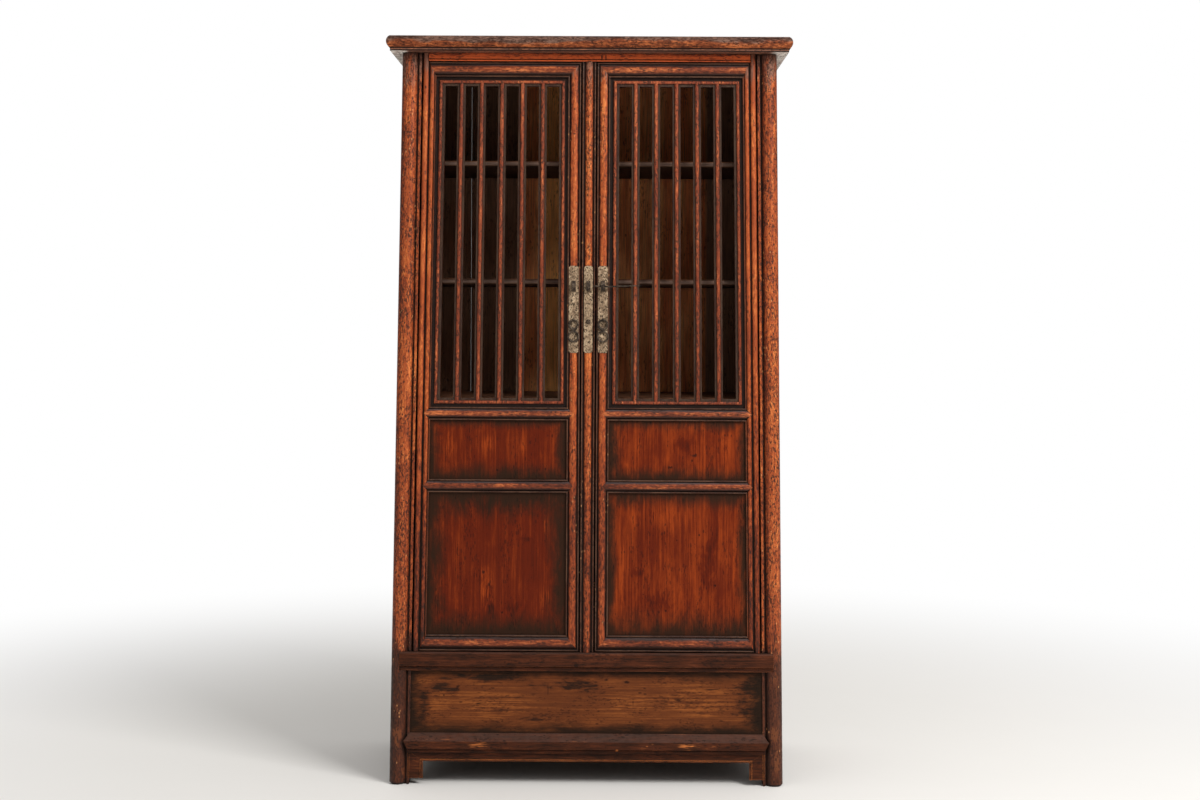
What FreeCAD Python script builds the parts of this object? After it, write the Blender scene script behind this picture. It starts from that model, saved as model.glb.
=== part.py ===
"""Tapered wooden book cabinet with barred doors, a middle post and a closed chest below.

Millimetres and degrees. +Z is up and the doors face -Y. The origin is on the floor, in the
middle of the four feet. The posts lean towards the middle on all four sides.
"""
import FreeCAD
import Part

import math
import os

Vector = FreeCAD.Vector

# Driving dimensions of the whole cabinet
overall_height = 1870.0
foot_width = 986.0
foot_depth = 480.0
splay_angle = 0.72
lean_angle = 0.45

# Small sizes shared by many pieces
overrun = 30.0
board_clearance = 0.5
seat_allowance = 2.0
tenon_root = 6.0

# Posts: round outside, square inside, with a thin strip on each inner side
post_size = 50.0
post_round = 21.0
post_strip = 6.0
post_strip_depth = 9.0
post_groove_depth = 14.0
post_tenon_size = 24.0
post_tenon_height = 18.0
post_foot_wear = 5.0
cope_share = 0.9

# Top frame, its floating panel and the battens below the panel
top_edge_height = 30.0
top_edge_bulge = 8.0
top_fillet_height = 7.5
top_fillet_setback = 9.0
top_overhang = 36.0
top_member_width = 90.0
top_panel_thickness = 14.0
top_panel_drop = 1.0
top_tongue_length = 8.0
top_tongue_thickness = 6.0
batten_width = 34.0
batten_height = 17.0
batten_tenon = 10.0
batten_place_shares = (-0.55, 0.0, 0.55)

# Rails between the posts
rail_back_depth = 46.0
rail_ledge_depth = 58.0
rail_tenon_front = 28.0
rail_tenon_thickness = 10.0
rail_tenon_length = 11.0
rail_tenon_margin = 4.0
side_rail_front = 8.0

# Head rails
head_rail_height = 21.0
head_rail_front = 5.0
head_bead_height = 4.5
head_bead_groove = 1.5
head_bead_depth = 3.0
head_stop_drop = 8.0

# Sill rail below the doors
sill_height = 46.0
sill_front = -3.0
sill_edge_round = 6.0
sill_fillet_height = 9.0
sill_fillet_setback = 5.0
sill_groove_height = 2.0
sill_groove_depth = 3.0
sill_stop_height = 9.0
sill_lap = 28.0
lap_depth = 14.0

# Chest below the sill
chest_panel_height = 157.0
chest_panel_front = 12.0
chest_panel_thickness = 10.0
panel_groove_depth = 7.0

# Foot rail with its sloping top, and the apron with mitred heads
foot_rail_height = 48.0
foot_rail_front = -4.0
foot_rail_slope_depth = 14.0
foot_arris_height = 29.0
foot_fillet_height = 8.0
foot_fillet_setback = 5.0
foot_groove_height = 1.5
foot_groove_depth = 3.0
foot_lap = 15.0
apron_rise = 59.0
apron_height = 22.0
apron_front = 7.0
apron_thickness = 12.0
apron_head_width = 33.0
apron_head_rise = 16.0
apron_border_depth = 1.5
apron_border_share = 0.18

# Side panels, back boards and the boards inside
side_panel_front = 16.0
side_panel_thickness = 10.0
open_board_gap = 0.9
tight_board_gap = 0.3
back_joint_bevel = 10.0
open_joint_share = 0.76
tight_joint_shares = (-0.72, -0.24, 0.28)
floor_board_thickness = 14.0
chest_board_thickness = 12.0
chest_board_rise = 14.0
shelf_place_shares = (0.833, 0.63, 0.426)
shelf_thickness = 15.0
shelf_front_depth = 54.0
bearer_width = 22.0
bearer_height = 24.0

# Mouldings on the door members: a round bead between two thin fillets
bead_height = 7.0
bead_groove = 1.2
fillet_width = 3.0
fillet_setback = 2.5

# Doors
door_gap = 3.0
door_face_depth = 4.0
door_thickness = 28.0
door_stop_gap = 0.6
meeting_gap = 4.5
hinge_gap = 3.5
pivot_bar_radius = 7.5
pivot_bar_shoulder = 1.5
hinge_bead_width = 11.0
hinge_bead_offset = 3.0
meeting_stile_width = 31.5
top_rail_width = 36.0
bottom_rail_width = 39.0
mid_rail_width = 32.0
large_panel_height = 357.0
small_panel_height = 149.0
door_panel_depth = 8.0
door_panel_thickness = 8.0
door_groove_depth = 6.0
door_mitre_depth = 11.5
door_tenon_front = 13.0
door_tenon_thickness = 8.0
door_tenon_length = 13.0
door_tenon_margin = 7.0

# Pivot pins of the doors and their sockets
pivot_pin_radius = 5.5
pivot_pin_clearance = 0.1
top_pin_length = 16.0
bottom_pin_length = 10.0
pivot_top_gap = 1.0
pivot_bottom_gap = 0.5
socket_extra_depth = 2.0
pivot_bar_clearance = 1.5

# Lattice in the upper part of each door
lattice_recess_width = 8.0
lattice_recess_depth = 10.0
lattice_bead_width = 9.0
lattice_bead_height = 4.0
lattice_crest_depth = 3.5
lattice_reveal_width = 6.0
lattice_reveal_depth = 8.0
lattice_back_depth = 22.0
bar_count = 5
bar_bead_width = 11.0
bar_fillet_width = 4.5
bar_back_depth = 20.0
bar_mitre_depth = 14.0
corner_extension_share = 0.25

# Middle post
centre_post_width = 33.0
centre_bead_groove = 3.0
centre_stop_width = 62.0
centre_stop_end_gap = 1.0
centre_post_back = 43.0
centre_tenon_width = 14.0
centre_tenon_thickness = 12.0
centre_tenon_length = 12.0
centre_tenon_front = 13.0

# Lock plates, staples and the pin
plate_rise = 1081.0
plate_height = 218.0
door_plate_width = 24.5
centre_plate_width = 22.0
plate_corner = 4.0
plate_thickness = 2.0
plate_seat_depth = 1.5
staple_rise = 1248.0
staple_height = 27.0
staple_reach = 14.5
staple_width = 10.0
staple_hole_width = 5.4
staple_hole_height = 9.4
staple_hole_reach = 7.5
staple_edge_round = 1.2
shank_width = 4.0
shank_height = 7.0
clench_length = 13.0
clench_thickness = 1.5
pin_radius = 2.0
pin_length = 117.0
pin_rest_gap = 0.3
pin_tip_gap = 7.0
pin_knot_radius = 4.0
pin_collar_radius = 3.0
pin_collar_length = 6.0
nail_rise = 1159.0
nail_radius = 6.5
nail_dome = 3.0
nail_shank_radius = 1.6
nail_shank_length = 18.0

# Pulls
pull_eye_rise = 1164.0
pull_eye_ring = 4.3
pull_eye_wire = 1.3
pull_eye_reach = 3.3
pull_hang_gap = 0.3
pull_upper_ring = 11.2
pull_upper_wire = 2.2
pull_lower_ring = 13.1
pull_lower_wire = 2.4
pull_waist_radius = 3.0
pull_waist_gap = 0.4

# Heights and outlines that follow from the sizes above
top_under = overall_height - top_edge_height - top_fillet_height
head_rail_bottom = top_under - head_rail_height
apron_top = apron_rise + apron_height
foot_rail_top = apron_top + foot_rail_height
sill_bottom = foot_rail_top + chest_panel_height
sill_top = sill_bottom + sill_height
floor_top = sill_top + sill_stop_height
floor_under = floor_top - floor_board_thickness
chest_board_under = apron_top + chest_board_rise
door_bottom = sill_top + door_gap
door_top = head_rail_bottom - door_gap
large_panel_bottom = door_bottom + bottom_rail_width
lower_mid_bottom = large_panel_bottom + large_panel_height
small_panel_bottom = lower_mid_bottom + mid_rail_width
upper_mid_bottom = small_panel_bottom + small_panel_height
lattice_bottom = upper_mid_bottom + mid_rail_width
lattice_top = door_top - top_rail_width
door_back = door_face_depth + door_thickness
door_stop_depth = door_back + door_stop_gap
pivot_u = post_size + hinge_gap + pivot_bar_radius
pivot_depth = door_face_depth + pivot_bar_radius
hinge_mitre_u = pivot_u + pivot_bar_radius + pivot_bar_shoulder
hinge_bead_u = pivot_u + pivot_bar_radius + hinge_bead_offset
hinge_inner_u = hinge_bead_u + hinge_bead_width + bead_groove + fillet_width
meeting_outer_x = -centre_post_width / 2 - meeting_gap
meeting_inner_x = meeting_outer_x - meeting_stile_width
meeting_middle_x = (meeting_outer_x + meeting_inner_x) / 2
cope_overrun = post_strip * cope_share
plate_back = door_face_depth + plate_seat_depth
plate_front = plate_back - plate_thickness
world = 2 * (overall_height + foot_width)

# Each face of the carcass: half its width, how far out it stands, the slant of the posts seen
# on it, its own lean inwards, and its turn about the upright axis
FACES = {
    "front": (foot_width / 2, foot_depth / 2, splay_angle, lean_angle, 0),
    "right": (foot_depth / 2, foot_width / 2, lean_angle, splay_angle, 90),
    "back": (foot_width / 2, foot_depth / 2, splay_angle, lean_angle, 180),
    "left": (foot_depth / 2, foot_width / 2, lean_angle, splay_angle, -90),
}

ORIGIN = Vector(0, 0, 0)
X_AXIS = Vector(1, 0, 0)
Y_AXIS = Vector(0, 1, 0)
Z_AXIS = Vector(0, 0, 1)


def flat_face(place, path):
    """Closed flat face. Each step of the path is a point, or a pair of points for an arc."""
    here = place(path[0])
    start = here
    edges = []
    for step in path[1:]:
        if isinstance(step[0], tuple):
            through = place(step[0])
            end = place(step[1])
            edges.append(Part.Arc(here, through, end).toShape())
        else:
            end = place(step)
            edges.append(Part.LineSegment(here, end).toShape())
        here = end
    if not here.isEqual(start, board_clearance / world):
        edges.append(Part.LineSegment(here, start).toShape())
    return Part.Face(Part.Wire(edges))


def level_bar(path, low_x, high_x):
    """Bar along X whose section is a path of (depth, height) points."""
    face = flat_face(lambda p: Vector(low_x, p[0], p[1]), path)
    return face.extrude(Vector(high_x - low_x, 0, 0))


def upright_bar(path, low_z, high_z):
    """Bar along Z whose section is a path of (x, depth) points."""
    face = flat_face(lambda p: Vector(p[0], p[1], low_z), path)
    return face.extrude(Vector(0, 0, high_z - low_z))


def slab_xz(path, low_depth, high_depth):
    """Plate square to the depth, whose outline is a path of (x, height) points."""
    face = flat_face(lambda p: Vector(p[0], low_depth, p[1]), path)
    return face.extrude(Vector(0, high_depth - low_depth, 0))


def block(low, high):
    """Box between two opposite corners."""
    size = Vector(*high) - Vector(*low)
    return Part.makeBox(size.x, size.y, size.z, Vector(*low))


def turned(shape, base, axis, angle):
    """Copy of a shape, turned about an axis through a point."""
    result = shape.copy()
    result.rotate(base, axis, angle)
    return result


def mirrored_x(shape):
    """Copy of a shape on the other side of the cabinet's middle."""
    return shape.mirror(ORIGIN, X_AXIS)


def fused(shape, *others):
    """One solid from shapes that meet or overlap."""
    return shape.fuse(list(others)).removeSplitter()


def cut_all(shape, tools):
    """The shape with every tool taken away."""
    return shape.cut(list(tools))


def group(shapes):
    """Several separate solids that share one node."""
    solids = []
    for shape in shapes:
        solids.extend(shape.Solids)
    return Part.makeCompound(solids)


def on_face(shape, face):
    """Place a shape, drawn upright with its depth along +Y, on one leaning side of the cabinet."""
    half, reach, slant, lean, turn = FACES[face]
    placed = shape.copy()
    placed.translate(Vector(0, -reach, 0))
    placed.rotate(Vector(0, -reach, 0), X_AXIS, -lean)
    placed.rotate(ORIGIN, Z_AXIS, turn)
    return placed


def slanted(shape, face="front"):
    """Slope an upright shape on the left of a face so that it runs with the left post."""
    half, reach, slant, lean, turn = FACES[face]
    return turned(shape, Vector(-half, 0, 0), Y_AXIS, slant)


def slant_x(inset, height, face="front"):
    """Place along a face of a line that runs with the left post, inset from its outer side."""
    half, reach, slant, lean, turn = FACES[face]
    angle = math.radians(slant)
    return -half + inset / math.cos(angle) + height * math.tan(angle)


def face_depth_reach(face, depth, height):
    """Distance from the cabinet's middle to a depth below a leaning face at a height."""
    half, reach, slant, lean, turn = FACES[face]
    angle = math.radians(lean)
    return reach - depth / math.cos(angle) - height * math.tan(angle)


def band(low_z, high_z):
    """Level slice of space between two heights."""
    return block((-world / 2, -world / 2, low_z), (world / 2, world / 2, high_z))


def beaded_path(width, outer_fillet, inner_fillet, groove, crest, back):
    """Section of a moulded member, as (across, depth): fillet, groove, round bead, groove, fillet."""
    floor = crest + bead_height
    fillet_face = crest + fillet_setback
    bead_low = outer_fillet + groove
    bead_high = width - inner_fillet - groove
    return [
        (0, fillet_face),
        (outer_fillet, fillet_face),
        (outer_fillet, floor),
        (bead_low, floor),
        (((bead_low + bead_high) / 2, crest), (bead_high, floor)),
        (width - inner_fillet, floor),
        (width - inner_fillet, fillet_face),
        (width, fillet_face),
        (width, back),
        (0, back),
    ]


def moved_path(path, place):
    """A path with each of its points changed by a function."""
    result = []
    for step in path:
        if isinstance(step[0], tuple):
            result.append((place(step[0]), place(step[1])))
        else:
            result.append(place(step))
    return result


def stretched_corner(outer, inner):
    """Point a little past the outer end of a mitre line, seen from its inner end."""
    return (
        outer[0] + (outer[0] - inner[0]) * corner_extension_share,
        outer[1] + (outer[1] - inner[1]) * corner_extension_share,
    )


# Posts and top


def post_blank():
    """Front left post with its top tenon, before any joint is cut."""
    flat_end = post_round + math.sqrt(post_round ** 2 - (post_round - post_groove_depth) ** 2)
    corner = post_round * (1 - math.sqrt(1 / 2))
    strip_start = post_size - post_strip
    path = [
        (post_size, post_size),
        (post_size, post_strip_depth),
        (strip_start, post_strip_depth),
        (strip_start, post_groove_depth),
        (flat_end, post_groove_depth),
        ((corner, corner), (post_groove_depth, flat_end)),
        (post_groove_depth, strip_start),
        (post_strip_depth, strip_start),
        (post_strip_depth, post_size),
    ]
    shift = -foot_width / 2
    section = moved_path(path, lambda p: (p[0] + shift, p[1]))
    bar = on_face(slanted(upright_bar(section, -overrun, overall_height)), "front")
    low = (post_size - post_tenon_size) / 2
    high = low + post_tenon_size
    tenon = block((shift + low, low, 0), (shift + high, high, overall_height))
    tenon = on_face(slanted(tenon), "front")
    tenon = tenon.common(band(top_under - tenon_root, top_under + post_tenon_height))
    bar = bar.common(band(0, top_under))
    foot_edges = [edge for edge in bar.Edges if is_foot_arc(edge)]
    return fused(bar.makeChamfer(post_foot_wear, foot_edges), tenon)


def is_foot_arc(edge):
    """True for the long curved edge on the floor round the outside of a post."""
    return edge.BoundBox.ZMax < post_foot_wear and edge.Length > post_size


def top_member(half_length, reach, turn):
    """One mitred member of the top frame, with a rounded edge and a thin fillet below it."""
    edge_low = overall_height - top_edge_height
    edge_middle = overall_height - top_edge_height / 2
    path = [
        (-reach + top_edge_bulge, overall_height),
        ((-reach, edge_middle), (-reach + top_edge_bulge, edge_low)),
        (-reach + top_fillet_setback, edge_low),
        (-reach + top_fillet_setback, top_under),
        (-reach + top_member_width, top_under),
        (-reach + top_member_width, overall_height),
    ]
    bar = level_bar(path, -half_length, half_length)
    inner = half_length - top_member_width
    outline = [
        Vector(-half_length, -reach, top_under - overrun),
        Vector(half_length, -reach, top_under - overrun),
        Vector(inner, -reach + top_member_width, top_under - overrun),
        Vector(-inner, -reach + top_member_width, top_under - overrun),
    ]
    mitre = Part.Face(Part.makePolygon(outline + outline[:1]))
    mitre = mitre.extrude(Vector(0, 0, overall_height - top_under + 2 * overrun))
    return turned(bar.common(mitre), ORIGIN, Z_AXIS, turn)


def build_top(parts):
    """Top frame, its floating panel and the battens below it."""
    half_x = face_depth_reach("left", 0, top_under) + top_overhang
    half_y = face_depth_reach("front", 0, top_under) + top_overhang
    inner_x = half_x - top_member_width
    inner_y = half_y - top_member_width
    panel_top = overall_height - top_panel_drop
    panel_low = panel_top - top_panel_thickness
    board = block((-inner_x, -inner_y, panel_low), (inner_x, inner_y, panel_top))
    tongue = block(
        (-inner_x - top_tongue_length, -inner_y - top_tongue_length, panel_low),
        (inner_x + top_tongue_length, inner_y + top_tongue_length, panel_low + top_tongue_thickness),
    )
    battens = []
    for share in batten_place_shares:
        middle = inner_x * share
        batten = block(
            (middle - batten_width / 2, -inner_y - batten_tenon, panel_low - batten_height),
            (middle + batten_width / 2, inner_y + batten_tenon, panel_low),
        )
        battens.append(batten)
    parts["top_panel"] = fused(board, tongue)
    parts["top_battens"] = group(battens)
    front = top_member(half_x, half_y, 0)
    back = top_member(half_x, half_y, 180)
    left = top_member(half_y, half_x, -90)
    right = top_member(half_y, half_x, 90)
    inside = [parts["top_panel"]] + battens
    parts["top_frame_front"] = cut_all(front, inside)
    parts["top_frame_back"] = cut_all(back, inside)
    parts["top_frame_ends"] = group([cut_all(left, inside), cut_all(right, inside)])


# Rails, panels and aprons of the carcass


def post_inner(face, height):
    """Half the clear width between the posts of a face at a height."""
    return -slant_x(post_size, height, face)


def rail_tenons(face, low, high):
    """Two stub tenons at the ends of a rail, in the face's own upright frame."""
    edge = post_inner(face, (low + high) / 2)
    tenons = []
    for side in (-1, 1):
        near = side * (edge - tenon_root)
        far = side * (edge + rail_tenon_length)
        tenon = block(
            (min(near, far), rail_tenon_front, low + rail_tenon_margin),
            (max(near, far), rail_tenon_front + rail_tenon_thickness, high - rail_tenon_margin),
        )
        tenons.append(tenon)
    return tenons


def rail_between_posts(face, path, low, high, posts):
    """Rail coped to the posts of one face, with its tenons."""
    reach = post_inner(face, (low + high) / 2) + cope_overrun
    bar = on_face(level_bar(path, -reach, reach), face)
    tenons = [on_face(tenon, face) for tenon in rail_tenons(face, low, high)]
    return fused(cut_all(bar, posts), *tenons)


def plain_rail_path(front, low, high, ledge):
    """Section of a side or back rail. A ledge height of None leaves the ledge out."""
    path = [(front, low), (front, high), (rail_back_depth, high)]
    if ledge is None:
        return path + [(rail_back_depth, low)]
    return path + [(rail_back_depth, ledge), (rail_ledge_depth, ledge), (rail_ledge_depth, low)]


def face_panel(face, low, high, front, thickness):
    """Board that fills a face between its posts and stands in grooves all round."""
    inset = post_size - panel_groove_depth
    bottom = low - panel_groove_depth
    top = high + panel_groove_depth
    path = [
        (slant_x(inset, bottom, face), bottom),
        (-slant_x(inset, bottom, face), bottom),
        (-slant_x(inset, top, face), top),
        (slant_x(inset, top, face), top),
    ]
    return slab_xz(path, front, front + thickness)


def front_head_rail_path():
    """Front head rail: flat face, small bead, and a stop behind the tops of the doors."""
    high = top_under + seat_allowance
    bead_top = head_rail_bottom + head_bead_height
    groove = head_rail_front + head_bead_depth
    stop_low = head_rail_bottom - head_stop_drop
    return [
        (head_rail_front, high),
        (head_rail_front, bead_top + head_bead_groove),
        (groove, bead_top + head_bead_groove),
        (groove, bead_top),
        ((head_rail_front, (head_rail_bottom + bead_top) / 2), (groove, head_rail_bottom)),
        (door_stop_depth, head_rail_bottom),
        (door_stop_depth, stop_low),
        (rail_back_depth, stop_low),
        (rail_back_depth, high),
    ]


def sill_path():
    """Sill rail: low fillet, groove, tall face with a rounded top edge, door stop and ledge."""
    fillet_face = sill_front + sill_fillet_setback
    fillet_top = sill_bottom + sill_fillet_height
    groove_top = fillet_top + sill_groove_height
    round_low = sill_top - sill_edge_round
    bend = sill_edge_round * (1 - math.sqrt(1 / 2))
    return [
        (fillet_face, sill_bottom),
        (fillet_face, fillet_top),
        (fillet_face + sill_groove_depth, fillet_top),
        (fillet_face + sill_groove_depth, groove_top),
        (sill_front, groove_top),
        (sill_front, round_low),
        ((sill_front + bend, sill_top - bend), (sill_front + sill_edge_round, sill_top)),
        (door_stop_depth, sill_top),
        (door_stop_depth, floor_top),
        (rail_back_depth, floor_top),
        (rail_back_depth, floor_under + seat_allowance),
        (rail_ledge_depth, floor_under + seat_allowance),
        (rail_ledge_depth, sill_bottom),
    ]


def foot_rail_path():
    """Foot rail: low fillet, groove, front face up to its arris, then a slope back to the panel."""
    fillet_face = foot_rail_front + foot_fillet_setback
    fillet_top = apron_top + foot_fillet_height
    groove_top = fillet_top + foot_groove_height
    ledge = chest_board_under + seat_allowance
    return [
        (fillet_face, apron_top),
        (fillet_face, fillet_top),
        (fillet_face + foot_groove_depth, fillet_top),
        (fillet_face + foot_groove_depth, groove_top),
        (foot_rail_front, groove_top),
        (foot_rail_front, apron_top + foot_arris_height),
        (foot_rail_front + foot_rail_slope_depth, foot_rail_top),
        (rail_back_depth, foot_rail_top),
        (rail_back_depth, ledge),
        (rail_ledge_depth, ledge),
        (rail_ledge_depth, apron_top),
    ]


def lap_zone(low, high, lap, tip_height):
    """Space in front of the posts that a lapped rail takes, pointed at tip_height if it is given."""
    ends = []
    if tip_height is None:
        ends = [(lap, low), (lap, high)]
    else:
        ends = [(0, low), (lap, tip_height), (0, high)]
    left = [(slant_x(post_size - length, height), height) for length, height in ends]
    right = [(-x, height) for x, height in reversed(left)]
    return slab_xz(left + right, -overrun, lap_depth)


def lapped_rail(path, low, high, lap, tip_height, posts):
    """Rail whose front layer laps over the posts. Returns the rail and the notch it needs."""
    zone = lap_zone(low, high, lap, tip_height)
    long_bar = level_bar(path, -foot_width / 2, foot_width / 2)
    layer = long_bar.common(zone)
    rail = rail_between_posts("front", path, low, high, posts)
    return fused(rail, on_face(layer, "front")), on_face(zone, "front")


def hinge_space():
    """Space round the upper end of the left pivot bar, in the front face's upright frame."""
    depth = pivot_depth + pivot_bar_radius + pivot_bar_clearance
    x = -foot_width / 2 + pivot_u
    low = head_rail_bottom - overrun
    high = top_under + overrun
    radius = pivot_bar_radius + pivot_bar_clearance
    ring = Part.makeCylinder(radius, high - low, Vector(x, pivot_depth, low), Z_AXIS)
    corner = block((-foot_width / 2, -overrun, low), (x, depth, high))
    return slanted(fused(ring, corner))


def apron_pieces(face, posts):
    """Apron and its two mitred heads under a foot rail."""
    inner = slant_x(post_size, apron_top, face) - cope_overrun
    head_inner = slant_x(post_size + apron_head_width, apron_top, face)
    face_depth = apron_front + apron_border_depth
    back = apron_front + apron_thickness
    corner = (slant_x(post_size, apron_top, face), apron_top)
    mitre_end = (head_inner, apron_rise)
    border = (
        head_inner + (corner[0] - head_inner) * apron_border_share,
        apron_rise + (apron_top - apron_rise) * apron_border_share,
    )
    apron_outline = [corner, (-corner[0], apron_top), (-head_inner, apron_rise), mitre_end]
    apron_border = [border, (-border[0], border[1]), (-head_inner, apron_rise), mitre_end]
    head_foot = [(head_inner, apron_head_rise), (inner, apron_head_rise)]
    head_outline = [(inner, apron_top), corner, mitre_end] + head_foot
    head_border = [border, mitre_end, head_foot[0], (border[0], apron_head_rise)]
    apron = fused(
        slab_xz(apron_outline, face_depth, back), slab_xz(apron_border, apron_front, face_depth)
    )
    head = fused(
        slab_xz(head_outline, face_depth, back), slab_xz(head_border, apron_front, face_depth)
    )
    pieces = [apron, head, mirrored_x(head)]
    return [cut_all(on_face(piece, face), posts) for piece in pieces]


def board_slot(middle, gap, bevel):
    """Space between two back boards. A bevel carries it sideways through their thickness."""
    front = side_panel_front - overrun
    back = side_panel_front + side_panel_thickness + overrun
    past = bevel * (back - front) / side_panel_thickness / 2
    path = [
        (middle - gap / 2 - past, front),
        (middle + gap / 2 - past, front),
        (middle + gap / 2 + past, back),
        (middle - gap / 2 + past, back),
    ]
    return upright_bar(path, 0, overall_height)


def back_boards():
    """Upright boards of the back. Their joints are bevelled, and one has shrunk open."""
    panel = face_panel("back", floor_top, head_rail_bottom, side_panel_front, side_panel_thickness)
    half = post_inner("back", (floor_top + head_rail_bottom) / 2)
    slots = [board_slot(half * share, tight_board_gap, back_joint_bevel) for share in tight_joint_shares]
    slots.append(board_slot(half * open_joint_share, open_board_gap, 0))
    return on_face(cut_all(panel, slots), "back"), on_face(panel, "back")


def inner_board(depth_side, depth_front, depth_back, low, thickness):
    """Level board inside the carcass, given by how far each edge lies below the outer faces."""
    half_x = face_depth_reach("left", depth_side, low + thickness) - board_clearance
    front = -face_depth_reach("front", depth_front, low + thickness) + board_clearance
    back = face_depth_reach("back", depth_back, low + thickness) - board_clearance
    return block((-half_x, front, low), (half_x, back, low + thickness))


def shelf_board(top, posts):
    """Shelf with a rounded front edge, notched round the back posts."""
    low = top - shelf_thickness
    inner = side_panel_front + side_panel_thickness
    board = inner_board(inner, shelf_front_depth, inner, low, shelf_thickness)
    box = board.BoundBox
    radius = shelf_thickness / 2
    path = [
        (box.YMin + radius, top),
        ((box.YMin, top - radius), (box.YMin + radius, low)),
        (box.YMax, low),
        (box.YMax, top),
    ]
    return cut_all(level_bar(path, box.XMin, box.XMax), posts)


def build_carcass(parts):
    """Posts, rails, panels, boards and aprons, jointed to one another."""
    front_left = post_blank()
    front_right = mirrored_x(front_left)
    posts = {
        "front_left_post": front_left,
        "front_right_post": front_right,
        "back_left_post": front_left.mirror(ORIGIN, Y_AXIS),
        "back_right_post": front_right.mirror(ORIGIN, Y_AXIS),
    }
    blanks = list(posts.values())
    above = band(top_under, world)
    chest_depth = chest_panel_front + chest_panel_thickness

    head_path = front_head_rail_path()
    head = rail_between_posts("front", head_path, head_rail_bottom, top_under, blanks)
    space = hinge_space()
    head = cut_all(head, [above, on_face(space, "front"), on_face(mirrored_x(space), "front")])
    side_head = plain_rail_path(side_rail_front, head_rail_bottom, top_under + seat_allowance, None)
    other_heads = []
    for face in ("left", "right", "back"):
        rail = rail_between_posts(face, side_head, head_rail_bottom, top_under, blanks)
        other_heads.append(rail.cut(above))

    arris = apron_top + foot_arris_height
    sill, sill_notch = lapped_rail(sill_path(), sill_bottom, sill_top, sill_lap, None, blanks)
    foot, foot_notch = lapped_rail(foot_rail_path(), apron_top, foot_rail_top, foot_lap, arris, blanks)
    side_sill = plain_rail_path(side_rail_front, sill_bottom, floor_top, floor_under + seat_allowance)
    side_foot_ledge = chest_board_under + seat_allowance
    side_foot = plain_rail_path(side_rail_front, apron_top, foot_rail_top, side_foot_ledge)
    sills = {}
    feet = {}
    for face in ("back", "left", "right"):
        sills[face] = rail_between_posts(face, side_sill, sill_bottom, floor_top, blanks)
        feet[face] = rail_between_posts(face, side_foot, apron_top, foot_rail_top, blanks)
    for face in ("left", "right"):
        sills[face] = cut_all(sills[face], [sill, sills["back"]])
        feet[face] = cut_all(feet[face], [foot, feet["back"]])

    chest_front = on_face(
        face_panel("front", foot_rail_top, sill_bottom, chest_panel_front, chest_panel_thickness), "front"
    )
    chest_walls = []
    for face in ("left", "right", "back"):
        wall = face_panel(face, foot_rail_top, sill_bottom, chest_panel_front, chest_panel_thickness)
        chest_walls.append(on_face(wall, face))
    side_panels = {}
    for face in ("left", "right"):
        panel = face_panel(face, floor_top, head_rail_bottom, side_panel_front, side_panel_thickness)
        side_panels[face] = on_face(panel, face)
    boards, back_blank = back_boards()

    floor_board = inner_board(
        rail_back_depth, rail_back_depth, rail_back_depth, floor_under, floor_board_thickness
    )
    chest_board = inner_board(
        rail_back_depth, rail_back_depth, rail_back_depth, chest_board_under, chest_board_thickness
    )
    floor_board = cut_all(floor_board, blanks)
    chest_board = cut_all(chest_board, blanks)
    shelves = []
    bearers = []
    bearer_front = side_panel_front + side_panel_thickness
    for share in shelf_place_shares:
        top = floor_top + (head_rail_bottom - floor_top) * share
        shelf = shelf_board(top, blanks)
        shelves.append(shelf)
        low = top - shelf_thickness - bearer_height
        high = top - shelf_thickness
        path = [
            (bearer_front, low),
            (bearer_front, high + seat_allowance),
            (bearer_front + bearer_width, high + seat_allowance),
            (bearer_front + bearer_width, low),
        ]
        for face in ("left", "right"):
            bearer = rail_between_posts(face, path, low, high, blanks)
            bearers.append(cut_all(bearer, [shelf, band(high, world)]))

    aprons = apron_pieces("front", blanks)
    other_aprons = []
    for face in ("left", "right", "back"):
        other_aprons.extend(apron_pieces(face, blanks))

    panels = [chest_front, back_blank] + chest_walls + list(side_panels.values())
    sill = cut_all(sill, panels + [floor_board])
    foot = cut_all(foot, panels + [chest_board])
    for face in sills:
        sills[face] = cut_all(sills[face], panels + [floor_board])
        feet[face] = cut_all(feet[face], panels + [chest_board])
    other_heads = [cut_all(rail, panels) for rail in other_heads]
    rails = [head, sill, foot] + other_heads + list(sills.values()) + list(feet.values()) + bearers
    for name, post in posts.items():
        parts[name] = cut_all(post, rails + panels + [sill_notch, foot_notch])

    parts["head_rail"] = head
    parts["side_and_back_head_rails"] = group(other_heads)
    parts["sill_rail"] = sill
    parts["side_sill_rails"] = group([sills["left"], sills["right"]])
    parts["foot_rail"] = foot
    parts["side_foot_rails"] = group([feet["left"], feet["right"]])
    parts["back_rails"] = group([sills["back"], feet["back"]])
    parts["chest_front_panel"] = chest_front
    parts["chest_wall_panels"] = group(chest_walls)
    parts["left_side_panel"] = side_panels["left"]
    parts["right_side_panel"] = side_panels["right"]
    parts["back_boards"] = group([boards])
    parts["floor_board"] = floor_board
    parts["chest_bottom_board"] = chest_board
    for name, shelf in zip(("top_shelf", "middle_shelf", "bottom_shelf"), shelves):
        parts[name] = shelf
    parts["shelf_bearers"] = group(bearers)
    parts["front_apron"] = group(aprons)
    parts["side_and_back_aprons"] = group(other_aprons)

    for name in ("top_frame_front", "top_frame_back"):
        parts[name] = cut_all(parts[name], blanks)
    ends = [cut_all(solid, blanks) for solid in parts["top_frame_ends"].Solids]
    parts["top_frame_ends"] = group(ends)


# Middle post


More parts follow.
